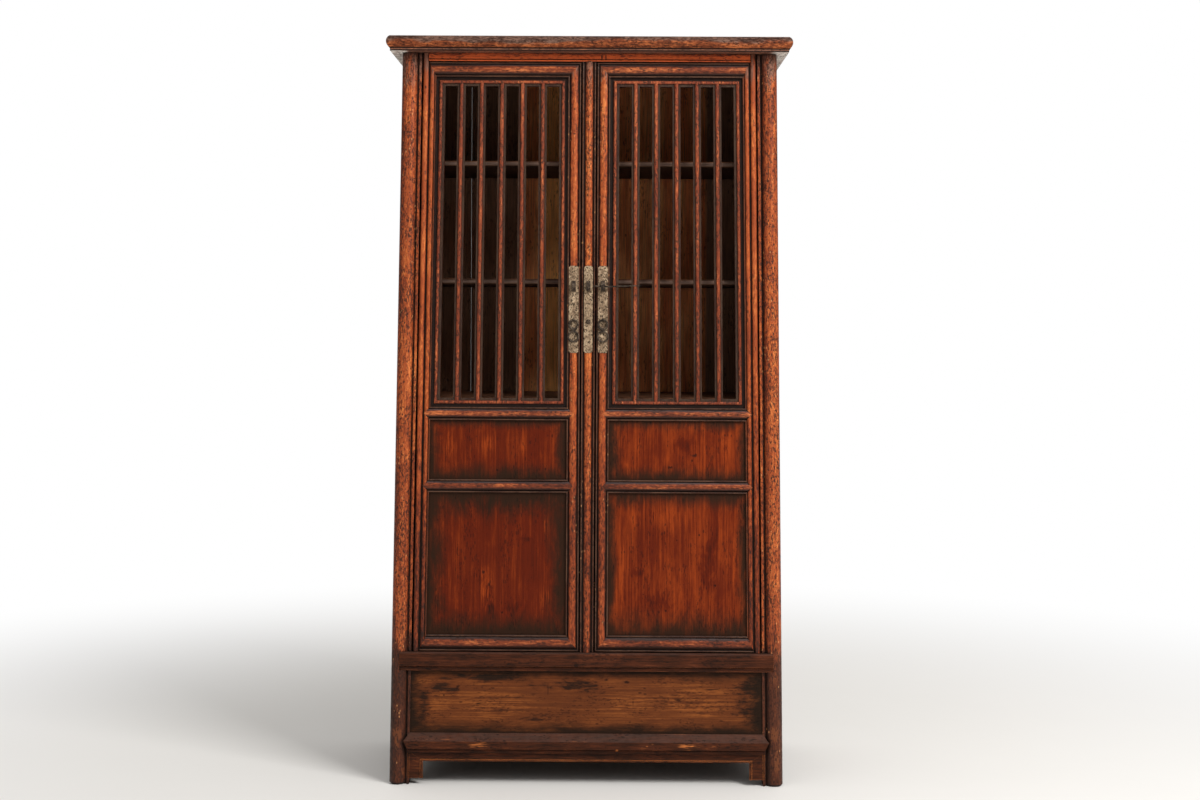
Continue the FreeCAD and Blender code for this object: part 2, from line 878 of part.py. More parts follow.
def build_centre_post(parts):
    """Middle post with its bead, the stop behind the doors, and a tenon at each end."""
    half = centre_post_width / 2
    bead = beaded_path(
        centre_post_width, fillet_width, fillet_width, centre_bead_groove, door_face_depth, door_back
    )
    section = moved_path(bead, lambda p: (p[0] - half, p[1]))
    post = upright_bar(section, sill_top, head_rail_bottom)
    stop_low = floor_top + centre_stop_end_gap
    stop_high = head_rail_bottom - head_stop_drop - centre_stop_end_gap
    stop = block(
        (-centre_stop_width / 2, door_stop_depth, stop_low),
        (centre_stop_width / 2, centre_post_back, stop_high),
    )
    web = block((-half, door_back - tenon_root, stop_low), (half, centre_post_back, stop_high))
    tenon = block(
        (-centre_tenon_width / 2, centre_tenon_front, sill_top - centre_tenon_length),
        (
            centre_tenon_width / 2,
            centre_tenon_front + centre_tenon_thickness,
            head_rail_bottom + centre_tenon_length,
        ),
    )
    post = on_face(fused(post, stop, web, tenon), "front")
    parts["head_rail"] = parts["head_rail"].cut(post)
    parts["sill_rail"] = parts["sill_rail"].cut(post)
    parts["centre_post"] = post


# Doors, drawn for the left door in the front face's upright frame


def hinge_stile_blank():
    """Hinge stile: round pivot bar with its pins, and a bead and fillet beside it."""
    floor = door_face_depth + bead_height
    bead_end = hinge_bead_u + hinge_bead_width
    path = [
        (pivot_u, door_back),
        (pivot_u, floor),
        (hinge_bead_u, floor),
        ((hinge_bead_u + hinge_bead_width / 2, door_face_depth), (bead_end, floor)),
        (bead_end + bead_groove, floor),
        (bead_end + bead_groove, door_face_depth + fillet_setback),
        (hinge_inner_u, door_face_depth + fillet_setback),
        (hinge_inner_u, door_back),
    ]
    shift = -foot_width / 2
    middle = shift + pivot_u
    low = sill_top + pivot_bottom_gap
    high = top_under - pivot_top_gap
    web = upright_bar(moved_path(path, lambda p: (p[0] + shift, p[1])), low - overrun, high + overrun)
    web = slanted(web).common(upright_slice(door_bottom, door_top))
    base = Vector(middle, pivot_depth, low - overrun)
    bar = Part.makeCylinder(pivot_bar_radius, high - low + 2 * overrun, base, Z_AXIS)
    bar = slanted(bar).common(upright_slice(low, high))
    pin = Part.makeCylinder(
        pivot_pin_radius,
        high - low + top_pin_length + bottom_pin_length,
        Vector(middle, pivot_depth, low - bottom_pin_length),
        Z_AXIS,
    )
    return fused(bar, web, slanted(pin))


def upright_slice(low, high):
    """Everything in front of the cabinet's middle between two heights of an upright frame."""
    return block((-foot_width, -overrun, low), (foot_width, foot_depth / 2, high))


def pivot_sockets():
    """Holes for the pivot pins of the left door, top and bottom, in the upright frame."""
    middle = -foot_width / 2 + pivot_u
    radius = pivot_pin_radius + pivot_pin_clearance
    low = sill_top + pivot_bottom_gap - bottom_pin_length - socket_extra_depth
    high = top_under - pivot_top_gap + top_pin_length + socket_extra_depth
    hole = Part.makeCylinder(radius, high - low, Vector(middle, pivot_depth, low), Z_AXIS)
    return slanted(hole)


def rail_zone(outer, inner, past):
    """Space of the top or bottom rail between its two mitres, open on the outer side."""
    left_outer = (slant_x(hinge_mitre_u, outer), outer)
    left_inner = (slant_x(hinge_inner_u, inner), inner)
    right_outer = (meeting_outer_x, outer)
    right_inner = (meeting_inner_x, inner)
    path = [
        (slant_x(hinge_mitre_u, past), past),
        left_outer,
        left_inner,
        right_inner,
        right_outer,
        (meeting_outer_x + overrun, past),
    ]
    return slab_xz(path, -overrun, door_back + overrun)


def pointed_zone(low, high, left_edge, right_edge, depth):
    """Front space of a middle rail whose ends run to a point in the stiles."""
    middle = (low + high) / 2
    point = (high - low) / 2
    left_tip = (left_edge(middle) - point, middle)
    right_tip = (right_edge + point, middle)
    path = [
        stretched_corner((left_edge(low), low), left_tip),
        left_tip,
        stretched_corner((left_edge(high), high), left_tip),
        stretched_corner((right_edge, high), right_tip),
        right_tip,
        stretched_corner((right_edge, low), right_tip),
    ]
    return slab_xz(path, -overrun, depth)


def door_rail_tenons(low, high):
    """Two tenons of a door rail, from inside the rail into each stile."""
    left = slant_x(hinge_inner_u, (low + high) / 2)
    depth = door_face_depth + door_tenon_front
    bottom = low + door_tenon_margin
    top = high - door_tenon_margin
    return [
        block(
            (left - door_tenon_length, depth, bottom),
            (left + tenon_root, depth + door_tenon_thickness, top),
        ),
        block(
            (meeting_inner_x - tenon_root, depth, bottom),
            (meeting_inner_x + door_tenon_length, depth + door_tenon_thickness, top),
        ),
    ]


def corner_rail(outer, inner, past):
    """Top or bottom rail of the door, mitred to the stiles, with its tenons and its space."""
    width = abs(outer - inner)
    toward = 1 if inner > outer else -1
    path = beaded_path(width, fillet_width, fillet_width, bead_groove, door_face_depth, door_back)
    section = moved_path(path, lambda p: (p[1], outer + toward * p[0]))
    zone = rail_zone(outer, inner, past)
    bar = level_bar(section, slant_x(pivot_u, outer), meeting_outer_x + overrun).common(zone)
    tenons = door_rail_tenons(min(outer, inner), max(outer, inner))
    return fused(bar, *tenons), zone, tenons


def mid_rail(low):
    """Middle rail with pointed ends in its front layer and tenons behind them."""
    high = low + mid_rail_width
    depth = door_face_depth + door_mitre_depth
    path = beaded_path(
        mid_rail_width, fillet_width, fillet_width, bead_groove, door_face_depth, door_back
    )
    section = moved_path(path, lambda p: (p[1], low + p[0]))
    bar = level_bar(section, slant_x(pivot_u, low), meeting_outer_x)
    front = pointed_zone(low, high, lambda z: slant_x(hinge_inner_u, z), meeting_inner_x, depth)
    square = slab_xz(
        [
            (slant_x(hinge_inner_u, low - overrun), low - overrun),
            (meeting_inner_x, low - overrun),
            (meeting_inner_x, high + overrun),
            (slant_x(hinge_inner_u, high + overrun), high + overrun),
        ],
        -overrun,
        door_back + overrun,
    )
    tenons = door_rail_tenons(low, high)
    return fused(bar.common(square), bar.common(front), *tenons), front, tenons


def door_panel(low, high):
    """Floating panel of the door, let into grooves all round."""
    bottom = low - door_groove_depth
    top = high + door_groove_depth
    edge = hinge_inner_u - door_groove_depth
    right = meeting_inner_x + door_groove_depth
    path = [(slant_x(edge, bottom), bottom), (right, bottom), (right, top), (slant_x(edge, top), top)]
    front = door_face_depth + door_panel_depth
    return slab_xz(path, front, front + door_panel_thickness)


def lattice_member_path():
    """Section of the lattice frame, from its outer edge: recess, round bead, flat reveal."""
    recess = door_face_depth + lattice_recess_depth
    crest = door_face_depth + lattice_crest_depth
    reveal = door_face_depth + lattice_reveal_depth
    bead_end = lattice_recess_width + lattice_bead_width
    shoulder = crest + lattice_bead_height
    width = bead_end + lattice_reveal_width
    back = door_face_depth + lattice_back_depth
    return [
        (0, recess),
        (lattice_recess_width, recess),
        (lattice_recess_width, shoulder),
        ((lattice_recess_width + lattice_bead_width / 2, crest), (bead_end, shoulder)),
        (bead_end, reveal),
        (width, reveal),
        (width, back),
        (0, back),
    ]


def lattice_bar_path():
    """Section of one lattice bar about its own middle: fillet, round bead, fillet."""
    crest = door_face_depth + lattice_crest_depth
    shoulder = crest + lattice_bead_height
    fillet_face = door_face_depth + lattice_reveal_depth
    bead = bar_bead_width / 2
    half = bead + bar_fillet_width
    back = door_face_depth + bar_back_depth
    return [
        (-half, fillet_face),
        (-bead, fillet_face),
        (-bead, shoulder),
        ((0, crest), (bead, shoulder)),
        (bead, fillet_face),
        (half, fillet_face),
        (half, back),
        (-half, back),
    ]


def mitred_zone(outer_low, inner_low, inner_high, outer_high):
    """Space of one lattice frame member between its two mitre lines."""
    path = [
        stretched_corner(outer_low, inner_low),
        stretched_corner(inner_low, outer_low),
        stretched_corner(inner_high, outer_high),
        stretched_corner(outer_high, inner_high),
    ]
    return slab_xz(path, -overrun, door_back + overrun)


def lattice_bar(low_x, low_z, high_x, high_z):
    """One bar from its lower to its upper end, with pointed ends, and the notch it needs."""
    half = bar_bead_width / 2 + bar_fillet_width
    angle = math.degrees(math.atan2(high_x - low_x, high_z - low_z))
    depth = door_face_depth + bar_mitre_depth
    bar = upright_bar(lattice_bar_path(), -overrun, high_z - low_z + overrun)
    bar = turned(bar, ORIGIN, Y_AXIS, angle)
    bar.translate(Vector(low_x, 0, low_z))
    low_tip = (low_x, low_z - half)
    high_tip = (high_x, high_z + half)
    path = [
        stretched_corner((low_x - half, low_z), low_tip),
        low_tip,
        stretched_corner((low_x + half, low_z), low_tip),
        stretched_corner((high_x + half, high_z), high_tip),
        high_tip,
        stretched_corner((high_x - half, high_z), high_tip),
    ]
    front = slab_xz(path, -overrun, depth)
    square = slab_xz(
        [
            (low_x - overrun, low_z),
            (low_x + overrun, low_z),
            (high_x + overrun, high_z),
            (high_x - overrun, high_z),
        ],
        -overrun,
        door_back,
    )
    return fused(bar.common(square), bar.common(front)), front


def lattice():
    """Frame of four mitred members and its upright bars, which fan out with the door's taper."""
    width = lattice_recess_width + lattice_bead_width + lattice_reveal_width
    inner_u = hinge_inner_u + width
    low = lattice_bottom
    high = lattice_top
    low_in = low + width
    high_in = high - width
    right = meeting_inner_x
    right_in = right - width
    outer = [
        (slant_x(hinge_inner_u, low), low),
        (right, low),
        (right, high),
        (slant_x(hinge_inner_u, high), high),
    ]
    inner = [
        (slant_x(inner_u, low_in), low_in),
        (right_in, low_in),
        (right_in, high_in),
        (slant_x(inner_u, high_in), high_in),
    ]
    path = lattice_member_path()
    shift = -foot_width / 2 + hinge_inner_u
    left_member = slanted(
        upright_bar(moved_path(path, lambda p: (p[0] + shift, p[1])), low - overrun, high + overrun)
    )
    right_member = upright_bar(moved_path(path, lambda p: (right - p[0], p[1])), low, high)
    bottom_member = level_bar(moved_path(path, lambda p: (p[1], low + p[0])), outer[0][0], right)
    top_member_bar = level_bar(moved_path(path, lambda p: (p[1], high - p[0])), outer[0][0], right)
    left_member = left_member.common(mitred_zone(outer[0], inner[0], inner[3], outer[3]))
    right_member = right_member.common(mitred_zone(outer[1], inner[1], inner[2], outer[2]))
    bottom_member = bottom_member.common(mitred_zone(outer[0], inner[0], inner[1], outer[1]))
    top_member_bar = top_member_bar.common(mitred_zone(outer[3], inner[3], inner[2], outer[2]))
    bars = []
    notches = []
    bar_width = bar_bead_width + 2 * bar_fillet_width
    low_clear = (right_in - inner[0][0] - bar_count * bar_width) / (bar_count + 1)
    high_clear = (right_in - inner[3][0] - bar_count * bar_width) / (bar_count + 1)
    for index in range(bar_count):
        low_x = inner[0][0] + (index + 1) * low_clear + (index + 1 / 2) * bar_width
        high_x = inner[3][0] + (index + 1) * high_clear + (index + 1 / 2) * bar_width
        bar, notch = lattice_bar(low_x, low_in, high_x, high_in)
        bars.append(bar)
        notches.append(notch)
    bottom_member = cut_all(bottom_member, notches)
    top_member_bar = cut_all(top_member_bar, notches)
    return [left_member, right_member, bottom_member, top_member_bar] + bars


def strip_plate(middle_x, width, front, back):
    """Strip plate with clipped corners."""
    low = plate_rise
    high = plate_rise + plate_height
    left = middle_x - width / 2
    right = middle_x + width / 2
    path = [
        (left + plate_corner, low),
        (right - plate_corner, low),
        (right, low + plate_corner),
        (right, high - plate_corner),
        (right - plate_corner, high),
        (left + plate_corner, high),
        (left, high - plate_corner),
        (left, low + plate_corner),
    ]
    return slab_xz(path, front, back)


def clenched_shank(middle_x, height, front, back):
    """Shank through plate and wood with its two ends bent over behind."""
    shank = block(
        (middle_x - shank_width / 2, front, height - shank_height / 2),
        (middle_x + shank_width / 2, back + clench_thickness, height + shank_height / 2),
    )
    bent = block(
        (middle_x - shank_width / 2, back, height - clench_length),
        (middle_x + shank_width / 2, back + clench_thickness, height + clench_length),
    )
    return fused(shank, bent)


def staple(middle_x, wood_back):
    """Lock staple: half-round loop standing out of its plate, with a hole along X."""
    low = staple_rise - staple_height / 2
    high = staple_rise + staple_height / 2
    left = middle_x - staple_width / 2
    right = middle_x + staple_width / 2
    crest = plate_front - staple_reach
    loop = level_bar(
        [(plate_front, low), ((crest, staple_rise), (plate_front, high))], left, right
    )
    rounded = []
    for edge in loop.Edges:
        middle = edge.CenterOfMass
        if middle.y < plate_front - staple_edge_round and len(edge.Vertexes) == 2:
            rounded.append(edge)
    loop = loop.makeFillet(staple_edge_round, rounded)
    hole_middle = plate_front - staple_hole_reach
    hole_low = staple_rise - pin_radius - pin_rest_gap
    half = staple_hole_width / 2
    hole_high = hole_low + staple_hole_height
    hole = level_bar(
        [
            (hole_middle - half, hole_low + half),
            ((hole_middle, hole_low), (hole_middle + half, hole_low + half)),
            (hole_middle + half, hole_high - half),
            ((hole_middle, hole_high), (hole_middle - half, hole_high - half)),
        ],
        left - overrun,
        right + overrun,
    )
    shank = clenched_shank(middle_x, staple_rise, plate_front - staple_edge_round, wood_back)
    return fused(loop.cut(hole), shank)


def pull_eye(middle_x):
    """Small ring that holds the pull, with a shank through the door."""
    middle = Vector(middle_x, plate_front - pull_eye_reach, pull_eye_rise)
    ring = Part.makeTorus(pull_eye_ring, pull_eye_wire, middle, X_AXIS)
    front = middle.y + pull_eye_ring - pull_eye_wire / 2
    shank = clenched_shank(middle_x, pull_eye_rise, front, door_back)
    return fused(ring, shank)


def pull_axis(middle_x):
    """Point on the pull's swing axis, in the front face's upright frame."""
    drop = pull_eye_ring - pull_eye_wire - pull_upper_wire - pull_hang_gap
    return Vector(middle_x, plate_front - pull_eye_reach, pull_eye_rise - drop)


def pull(middle_x):
    """Pull like a figure eight: two rings joined at a knotted waist."""
    top = pull_axis(middle_x)
    upper = top - Z_AXIS * pull_upper_ring
    waist = upper - Z_AXIS * (pull_upper_ring + pull_upper_wire + pull_waist_gap)
    lower = waist - Z_AXIS * (pull_lower_ring + pull_lower_wire + pull_waist_gap)
    pieces = [
        Part.makeTorus(pull_upper_ring, pull_upper_wire, upper, Y_AXIS),
        Part.makeTorus(pull_lower_ring, pull_lower_wire, lower, Y_AXIS),
        Part.makeSphere(pull_waist_radius, waist),
    ]
    return fused(*pieces)


def left_door():
    """Every piece of the left door, in the front face's upright frame."""
    past_top = top_under + overrun
    past_bottom = sill_top - overrun
    top_rail, top_zone, top_tenons = corner_rail(door_top, lattice_top, past_top)
    bottom_rail, bottom_zone, bottom_tenons = corner_rail(door_bottom, large_panel_bottom, past_bottom)
    lower_mid, lower_zone, lower_tenons = mid_rail(lower_mid_bottom)
    upper_mid, upper_zone, upper_tenons = mid_rail(upper_mid_bottom)
    small = door_panel(small_panel_bottom, upper_mid_bottom)
    large = door_panel(large_panel_bottom, lower_mid_bottom)
    zones = [top_zone, bottom_zone, lower_zone, upper_zone]
    tenons = top_tenons + bottom_tenons + lower_tenons + upper_tenons
    panels = [small, large]

    plate = strip_plate(meeting_middle_x, door_plate_width, plate_front, plate_back)
    seat = strip_plate(meeting_middle_x, door_plate_width, -overrun, plate_back)
    lock_staple = staple(meeting_middle_x, door_back)
    eye = pull_eye(meeting_middle_x)
    path = beaded_path(
        meeting_stile_width, fillet_width, fillet_width, bead_groove, door_face_depth, door_back
    )
    section = moved_path(path, lambda p: (p[0] + meeting_inner_x, p[1]))
    meeting = upright_bar(section, door_bottom, door_top)
    hinge_cuts = zones + tenons + panels
    hinge = hinge_stile_blank()
    pieces = {
        "hinge_stile": cut_all(hinge, hinge_cuts),
        "meeting_stile": cut_all(meeting, hinge_cuts + [seat, lock_staple, eye]),
        "top_rail": top_rail,
        "bottom_rail": cut_all(bottom_rail, panels),
        "mid_rails": group([cut_all(lower_mid, panels), cut_all(upper_mid, panels)]),
        "small_panel": small,
        "large_panel": large,
        "lattice": group(lattice()),
        "lock_plate": cut_all(plate, [lock_staple, eye]),
        "staple": lock_staple,
        "pull_eye": eye,
        "pull": pull(meeting_middle_x),
    }
    return pieces


def build_doors(parts):
    """Left door, its mirror image on the right, and the sockets for their pivots."""
    for name, piece in left_door().items():
        parts["left_door_" + name] = on_face(piece, "front")
        other = [mirrored_x(solid) for solid in piece.Solids]
        parts["right_door_" + name] = on_face(group(other), "front")
    hole = pivot_sockets()
    sockets = [on_face(hole, "front"), on_face(mirrored_x(hole), "front")]
    parts["top_frame_front"] = cut_all(parts["top_frame_front"], sockets)
    parts["sill_rail"] = cut_all(parts["sill_rail"], sockets)


# Middle plate, its staple and nail, and the lock pin


def round_nail():
    """Nail with a low domed head on the middle plate."""
    dome_radius = (nail_radius ** 2 + nail_dome ** 2) / (2 * nail_dome)
    crest = plate_front - nail_dome
    half_turn = math.asin(nail_radius / dome_radius) / 2
    shoulder = (
        dome_radius * math.sin(half_turn),
        crest + dome_radius * (1 - math.cos(half_turn)),
    )
    end = plate_front + nail_shank_length
    path = [
        (0, crest),
        (shoulder, (nail_radius, plate_front)),
        (nail_shank_radius, plate_front),
        (nail_shank_radius, end),
        (0, end),
    ]
    profile = flat_face(lambda p: Vector(p[0], p[1], nail_rise), path)
    return profile.revolve(Vector(0, 0, nail_rise), Y_AXIS, 360)


def build_lock(parts):
    """Plate, staple and nail of the middle post, and the pin drawn clear of the middle staple."""
    lock_staple = staple(0, centre_post_back)
    plate = strip_plate(0, centre_plate_width, plate_front, plate_back)
    seat = strip_plate(0, centre_plate_width, -overrun, plate_back)
    nail = round_nail()
    post_cuts = [on_face(shape, "front") for shape in (seat, lock_staple, nail)]
    parts["centre_post"] = cut_all(parts["centre_post"], post_cuts)
    parts["centre_lock_plate"] = on_face(cut_all(plate, [lock_staple, nail]), "front")
    parts["centre_staple"] = on_face(lock_staple, "front")
    parts["centre_nail"] = on_face(nail, "front")

    tip = staple_width / 2 + pin_tip_gap
    depth = plate_front - staple_hole_reach
    start = Vector(tip, depth, staple_rise)
    end = start + X_AXIS * pin_length
    collar = start + X_AXIS * (pin_length - pin_collar_length)
    pin = fused(
        Part.makeCylinder(pin_radius, pin_length, start, X_AXIS),
        Part.makeSphere(pin_knot_radius, end),
        Part.makeCylinder(pin_collar_radius, pin_collar_length, collar, X_AXIS),
    )
    parts["lock_pin"] = on_face(pin, "front")


def build():
    """All pieces by name."""
    parts = {}
    build_top(parts)
    build_carcass(parts)
    build_centre_post(parts)
    build_doors(parts)
    build_lock(parts)
    return parts


os.makedirs("parts", exist_ok=True)
for name, shape in build().items():
    shape.exportStep("parts/" + name + ".step")
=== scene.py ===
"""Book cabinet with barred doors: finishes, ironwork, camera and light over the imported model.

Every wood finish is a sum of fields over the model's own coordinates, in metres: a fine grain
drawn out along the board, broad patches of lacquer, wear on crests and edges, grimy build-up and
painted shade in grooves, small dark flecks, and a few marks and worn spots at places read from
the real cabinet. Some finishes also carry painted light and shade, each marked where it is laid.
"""

import math

import bpy
import numpy as np
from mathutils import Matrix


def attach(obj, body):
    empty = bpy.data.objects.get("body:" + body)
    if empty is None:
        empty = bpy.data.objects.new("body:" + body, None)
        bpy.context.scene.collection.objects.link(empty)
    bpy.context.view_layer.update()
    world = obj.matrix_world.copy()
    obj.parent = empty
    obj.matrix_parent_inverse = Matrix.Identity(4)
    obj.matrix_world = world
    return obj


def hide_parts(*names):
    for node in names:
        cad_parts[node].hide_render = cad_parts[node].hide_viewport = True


bl_info = {
    "name": "Barred Book Cabinet",
    "version": (1, 0, 0),
    "blender": (4, 5, 0),
    "location": "View3D > Sidebar > Cabinet",
    "description": "Finishes, ironwork, camera and light of a barred book cabinet",
    "category": "Object",
}

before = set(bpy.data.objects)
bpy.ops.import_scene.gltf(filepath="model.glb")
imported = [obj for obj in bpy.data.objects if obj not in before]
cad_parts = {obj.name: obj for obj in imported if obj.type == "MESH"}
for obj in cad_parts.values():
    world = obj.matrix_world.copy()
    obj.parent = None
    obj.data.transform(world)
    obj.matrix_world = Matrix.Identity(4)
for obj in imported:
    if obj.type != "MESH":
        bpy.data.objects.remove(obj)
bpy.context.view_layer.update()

# The front of the posts at the floor, and how far it leans back
FRONT = -0.24
LEAN = math.radians(0.45)
# Directions that a surface can face, the last one towards the key lamp
FORWARD = (0, -1, 0)
UP = (0, 0, 1)
DOWN = (0, 0, -1)
TO_LAMP = (0.3, -0.954, 0)

# Colours as they look in plain light, red green blue out of 255
WORN_BRIGHT = (226, 132, 68)
WORN_MID = (164, 76, 35)
LACQUER = (104, 42, 20)
LACQUER_DARK = (46, 25, 16)
RED_BRIGHT = (206, 114, 66)
RED_MID = (132, 60, 34)
DULL_BRIGHT = (216, 122, 68)
DULL_MID = (124, 56, 30)
DULL_RED = (66, 30, 18)
CHIP = (226, 158, 100)
FILLET = (92, 62, 45)
FILLET_RED = (112, 56, 30)
FILLET_GREY = (72, 52, 38)
# Painted shade: near black laid on what lies deeper than the fillets
RECESS_SHADE = (38, 24, 17)
# Near black of pits and grimy build-up, also painted shade where the surface is closed in
GRIME_AND_SHADE = (20, 14, 11)
PANEL_BRIGHT = (146, 58, 18)
PANEL_RED = (92, 28, 8)
PANEL_DARK = (48, 17, 8)
# Soiling and painted shade in the border of the door panels
PANEL_EDGE_DIRT_SHADE = (42, 27, 16)
CHEST_BRIGHT = (146, 82, 38)
CHEST_BROWN = (98, 51, 25)
CHEST_DARK = (44, 26, 16)
# Soiling and painted shade in the border of the chest panel
CHEST_EDGE_DIRT_SHADE = (32, 22, 14)
HEAD_BRIGHT = (210, 94, 44)
HEAD_RED = (160, 66, 32)
RAIL_LIGHT = (166, 96, 60)
RAIL_BROWN = (82, 41, 23)
RAIL_DARK = (42, 23, 14)
DUST = (80, 57, 48)
# Dust with a painted sky sheen, on what faces up
DUST_AND_SKY_SHEEN = (92, 76, 74)
# Painted light: pale underside of the top's ends, for light thrown up from the floor
SOFFIT_BOUNCE_LIGHT = (236, 228, 218)
TOP_GREY = (116, 92, 80)
TOP_DUST = (92, 66, 52)
TOP_ORANGE = (196, 110, 60)
TOP_BROWN = (118, 58, 32)
# Inner faces of the boards, painted much lighter as painted light; the grey is painted shade
INSIDE_LIGHT = (252, 182, 116)
INSIDE_BROWN = (242, 146, 86)
INSIDE_DARK = (208, 112, 66)
INSIDE_PALE = (255, 178, 102)
INSIDE_SHADE_GREY = (134, 99, 76)
BACK_LIGHT = (128, 84, 58)
BACK_BROWN = (92, 58, 40)
BACK_DARK = (50, 32, 23)
SHELF_GREY = (84, 62, 52)
SHELF_LIGHT = (138, 110, 95)
IRON_LIGHT = (204, 178, 146)
IRON_PALE = (188, 163, 132)
IRON_MID = (138, 114, 90)
IRON_DARK = (52, 40, 31)
WROUGHT_LIGHT = (104, 88, 73)
WROUGHT_MID = (54, 45, 38)
WROUGHT_DARK = (24, 20, 17)
FLOOR = (231, 228, 223)

# The three tones of the rails' wood
RAIL = (RAIL_LIGHT, RAIL_BROWN, RAIL_DARK)

# Depths behind the front plane, in metres: of the flat fillets beside the beads, and from where a
# bead counts as high to where it counts as low
FILLET_DEPTH = 0.0065
BAR_FILLET_DEPTH = 0.012
UPRIGHT_BEAD = (0.0048, 0.0096)
LEVEL_BEAD = (0.0044, 0.0086)
MIDDLE_BEAD = (0.0054, 0.0108)
BAR_BEAD = (0.0078, 0.0107)

# Heights between which the posts, and the uprights between them, are clear of soiling and of
# painted shade
POST_ENDS = (0.36, 1.782)
DOOR_ENDS = (0.33, 1.774)

# Heights on the top frame: its underside, its fillet, the painted shade lines over and at the
# foot of the fillet, and where the rounded edge turns from orange to grey
TOP_UNDERSIDE = (1.8338, 1.833)
TOP_FILLET = (1.8412, 1.8402)
TOP_SHADE_LINE_START = (1.8378, 1.8387)
TOP_SHADE_LINE_END = (1.8418, 1.8408)
TOP_FOOT_SHADE = (1.8362, 1.8353)
TOP_TURN = (1.851, 1.8595)

# Light on the back boards, by x: where it starts, where its pale board starts and ends, its end
BACK_LIT = (-0.2, -0.123, -0.02, 0.31)

# The pulls: radius of the upper ring, half width and half height of the lower one, and the wire
# that binds the pulls and the pin's knot
UPPER_RING = 0.0113
LOWER_RING = (0.0128, 0.0126)
BINDING_WIRE = 0.0009

# Distances from the middle between which the floor turns white for the camera, the half width of
# the floor, and the picture's small downward shift, as a share of its width
FLOOR_FADE = (0.9, 3.4)
FLOOR_REACH = 60.0
CAMERA_SHIFT = -0.0671

# Worn spots and marks, each as x, z, half width and half height in metres
POST_SPOTS = [
    (-0.478, 0.13, 0.010, 0.020), (-0.466, 0.125, 0.006, 0.016), (-0.472, 0.105, 0.006, 0.02),
    (-0.455, 0.03, 0.008, 0.016), (0.470, 0.13, 0.012, 0.022), (0.476, 0.06, 0.008, 0.03),
]
HEAD_SEAM = [(0.031, 1.822, 0.003, 0.01), (0.041, 1.822, 0.0025, 0.01)]
FOOT_RAIL_SPOTS = [
    (-0.276, 0.104, 0.034, 0.009), (-0.262, 0.1, 0.02, 0.004), (0.265, 0.103, 0.034, 0.008),
    (0.152, 0.1, 0.006, 0.004), (0.166, 0.105, 0.004, 0.003), (0.077, 0.09, 0.004, 0.004),
]
STILE_HOLES = [(-0.0372, 1.692, 0.0026, 0.0034), (-0.037, 1.63, 0.0045, 0.0025)]
HINGE_TAN = [
    (-0.405, 1.66, 0.02, 0.2), (-0.41, 1.35, 0.02, 0.16), (0.41, 1.6, 0.02, 0.22),
    (0.415, 1.25, 0.02, 0.2),
]

# Panels: the width of the dark border at the left, right, foot and head, the brightness, and the
# places of bright spots, dark spots and marks
DOOR_PANELS = {
    "left_door_small_panel": {
        "margins": (0.036, 0.044, 0.055, 0.03),
        "lift": 0.5,
        "bright": [
            (-0.345, 0.845, 0.022, 0.05), (-0.255, 0.85, 0.04, 0.04), (-0.165, 0.845, 0.016, 0.045),
        ],
        "dark": [(-0.2, 0.775, 0.06, 0.02)],
        "marks": [(-0.226, 0.786, 0.004, 0.005), (-0.105, 0.79, 0.003, 0.003)],
    },
    "right_door_small_panel": {
        "margins": (0.046, 0.034, 0.046, 0.034),
        "lift": 0.66,
        "bright": [(0.12, 0.845, 0.02, 0.04), (0.35, 0.845, 0.02, 0.05), (0.1, 0.80, 0.01, 0.02)],
        "dark": [(0.24, 0.85, 0.03, 0.02)],
        "marks": [
            (0.207, 0.795, 0.006, 0.005), (0.266, 0.825, 0.01, 0.006), (0.262, 0.812, 0.005, 0.006),
        ],
    },
    "left_door_large_panel": {
        "margins": (0.06, 0.062, 0.072, 0.085),
        "lift": 0.42,
        "bright": [
            (-0.104, 0.645, 0.008, 0.04), (-0.245, 0.49, 0.045, 0.08), (-0.11, 0.47, 0.02, 0.07),
            (-0.187, 0.547, 0.003, 0.075),
        ],
        "dark": [(-0.153, 0.615, 0.03, 0.01), (-0.27, 0.7, 0.06, 0.03), (-0.2, 0.44, 0.05, 0.03)],
        "marks": [
            (-0.245, 0.501, 0.005, 0.006), (-0.26, 0.531, 0.004, 0.005),
            (-0.212, 0.43, 0.004, 0.004),
        ],
    },
    "right_door_large_panel": {
        "margins": (0.032, 0.034, 0.08, 0.052),
        "lift": 0.64,
        "bright": [
            (0.2, 0.68, 0.06, 0.045), (0.09, 0.52, 0.014, 0.14), (0.375, 0.55, 0.016, 0.12),
            (0.12, 0.67, 0.02, 0.03),
        ],
        "dark": [(0.13, 0.53, 0.02, 0.012), (0.3, 0.56, 0.03, 0.07), (0.19, 0.46, 0.04, 0.03)],
        "marks": [
            (0.281, 0.626, 0.004, 0.004), (0.198, 0.436, 0.004, 0.005), (0.322, 0.5, 0.004, 0.004),
            (0.225, 0.613, 0.003, 0.003),
        ],
    },
}
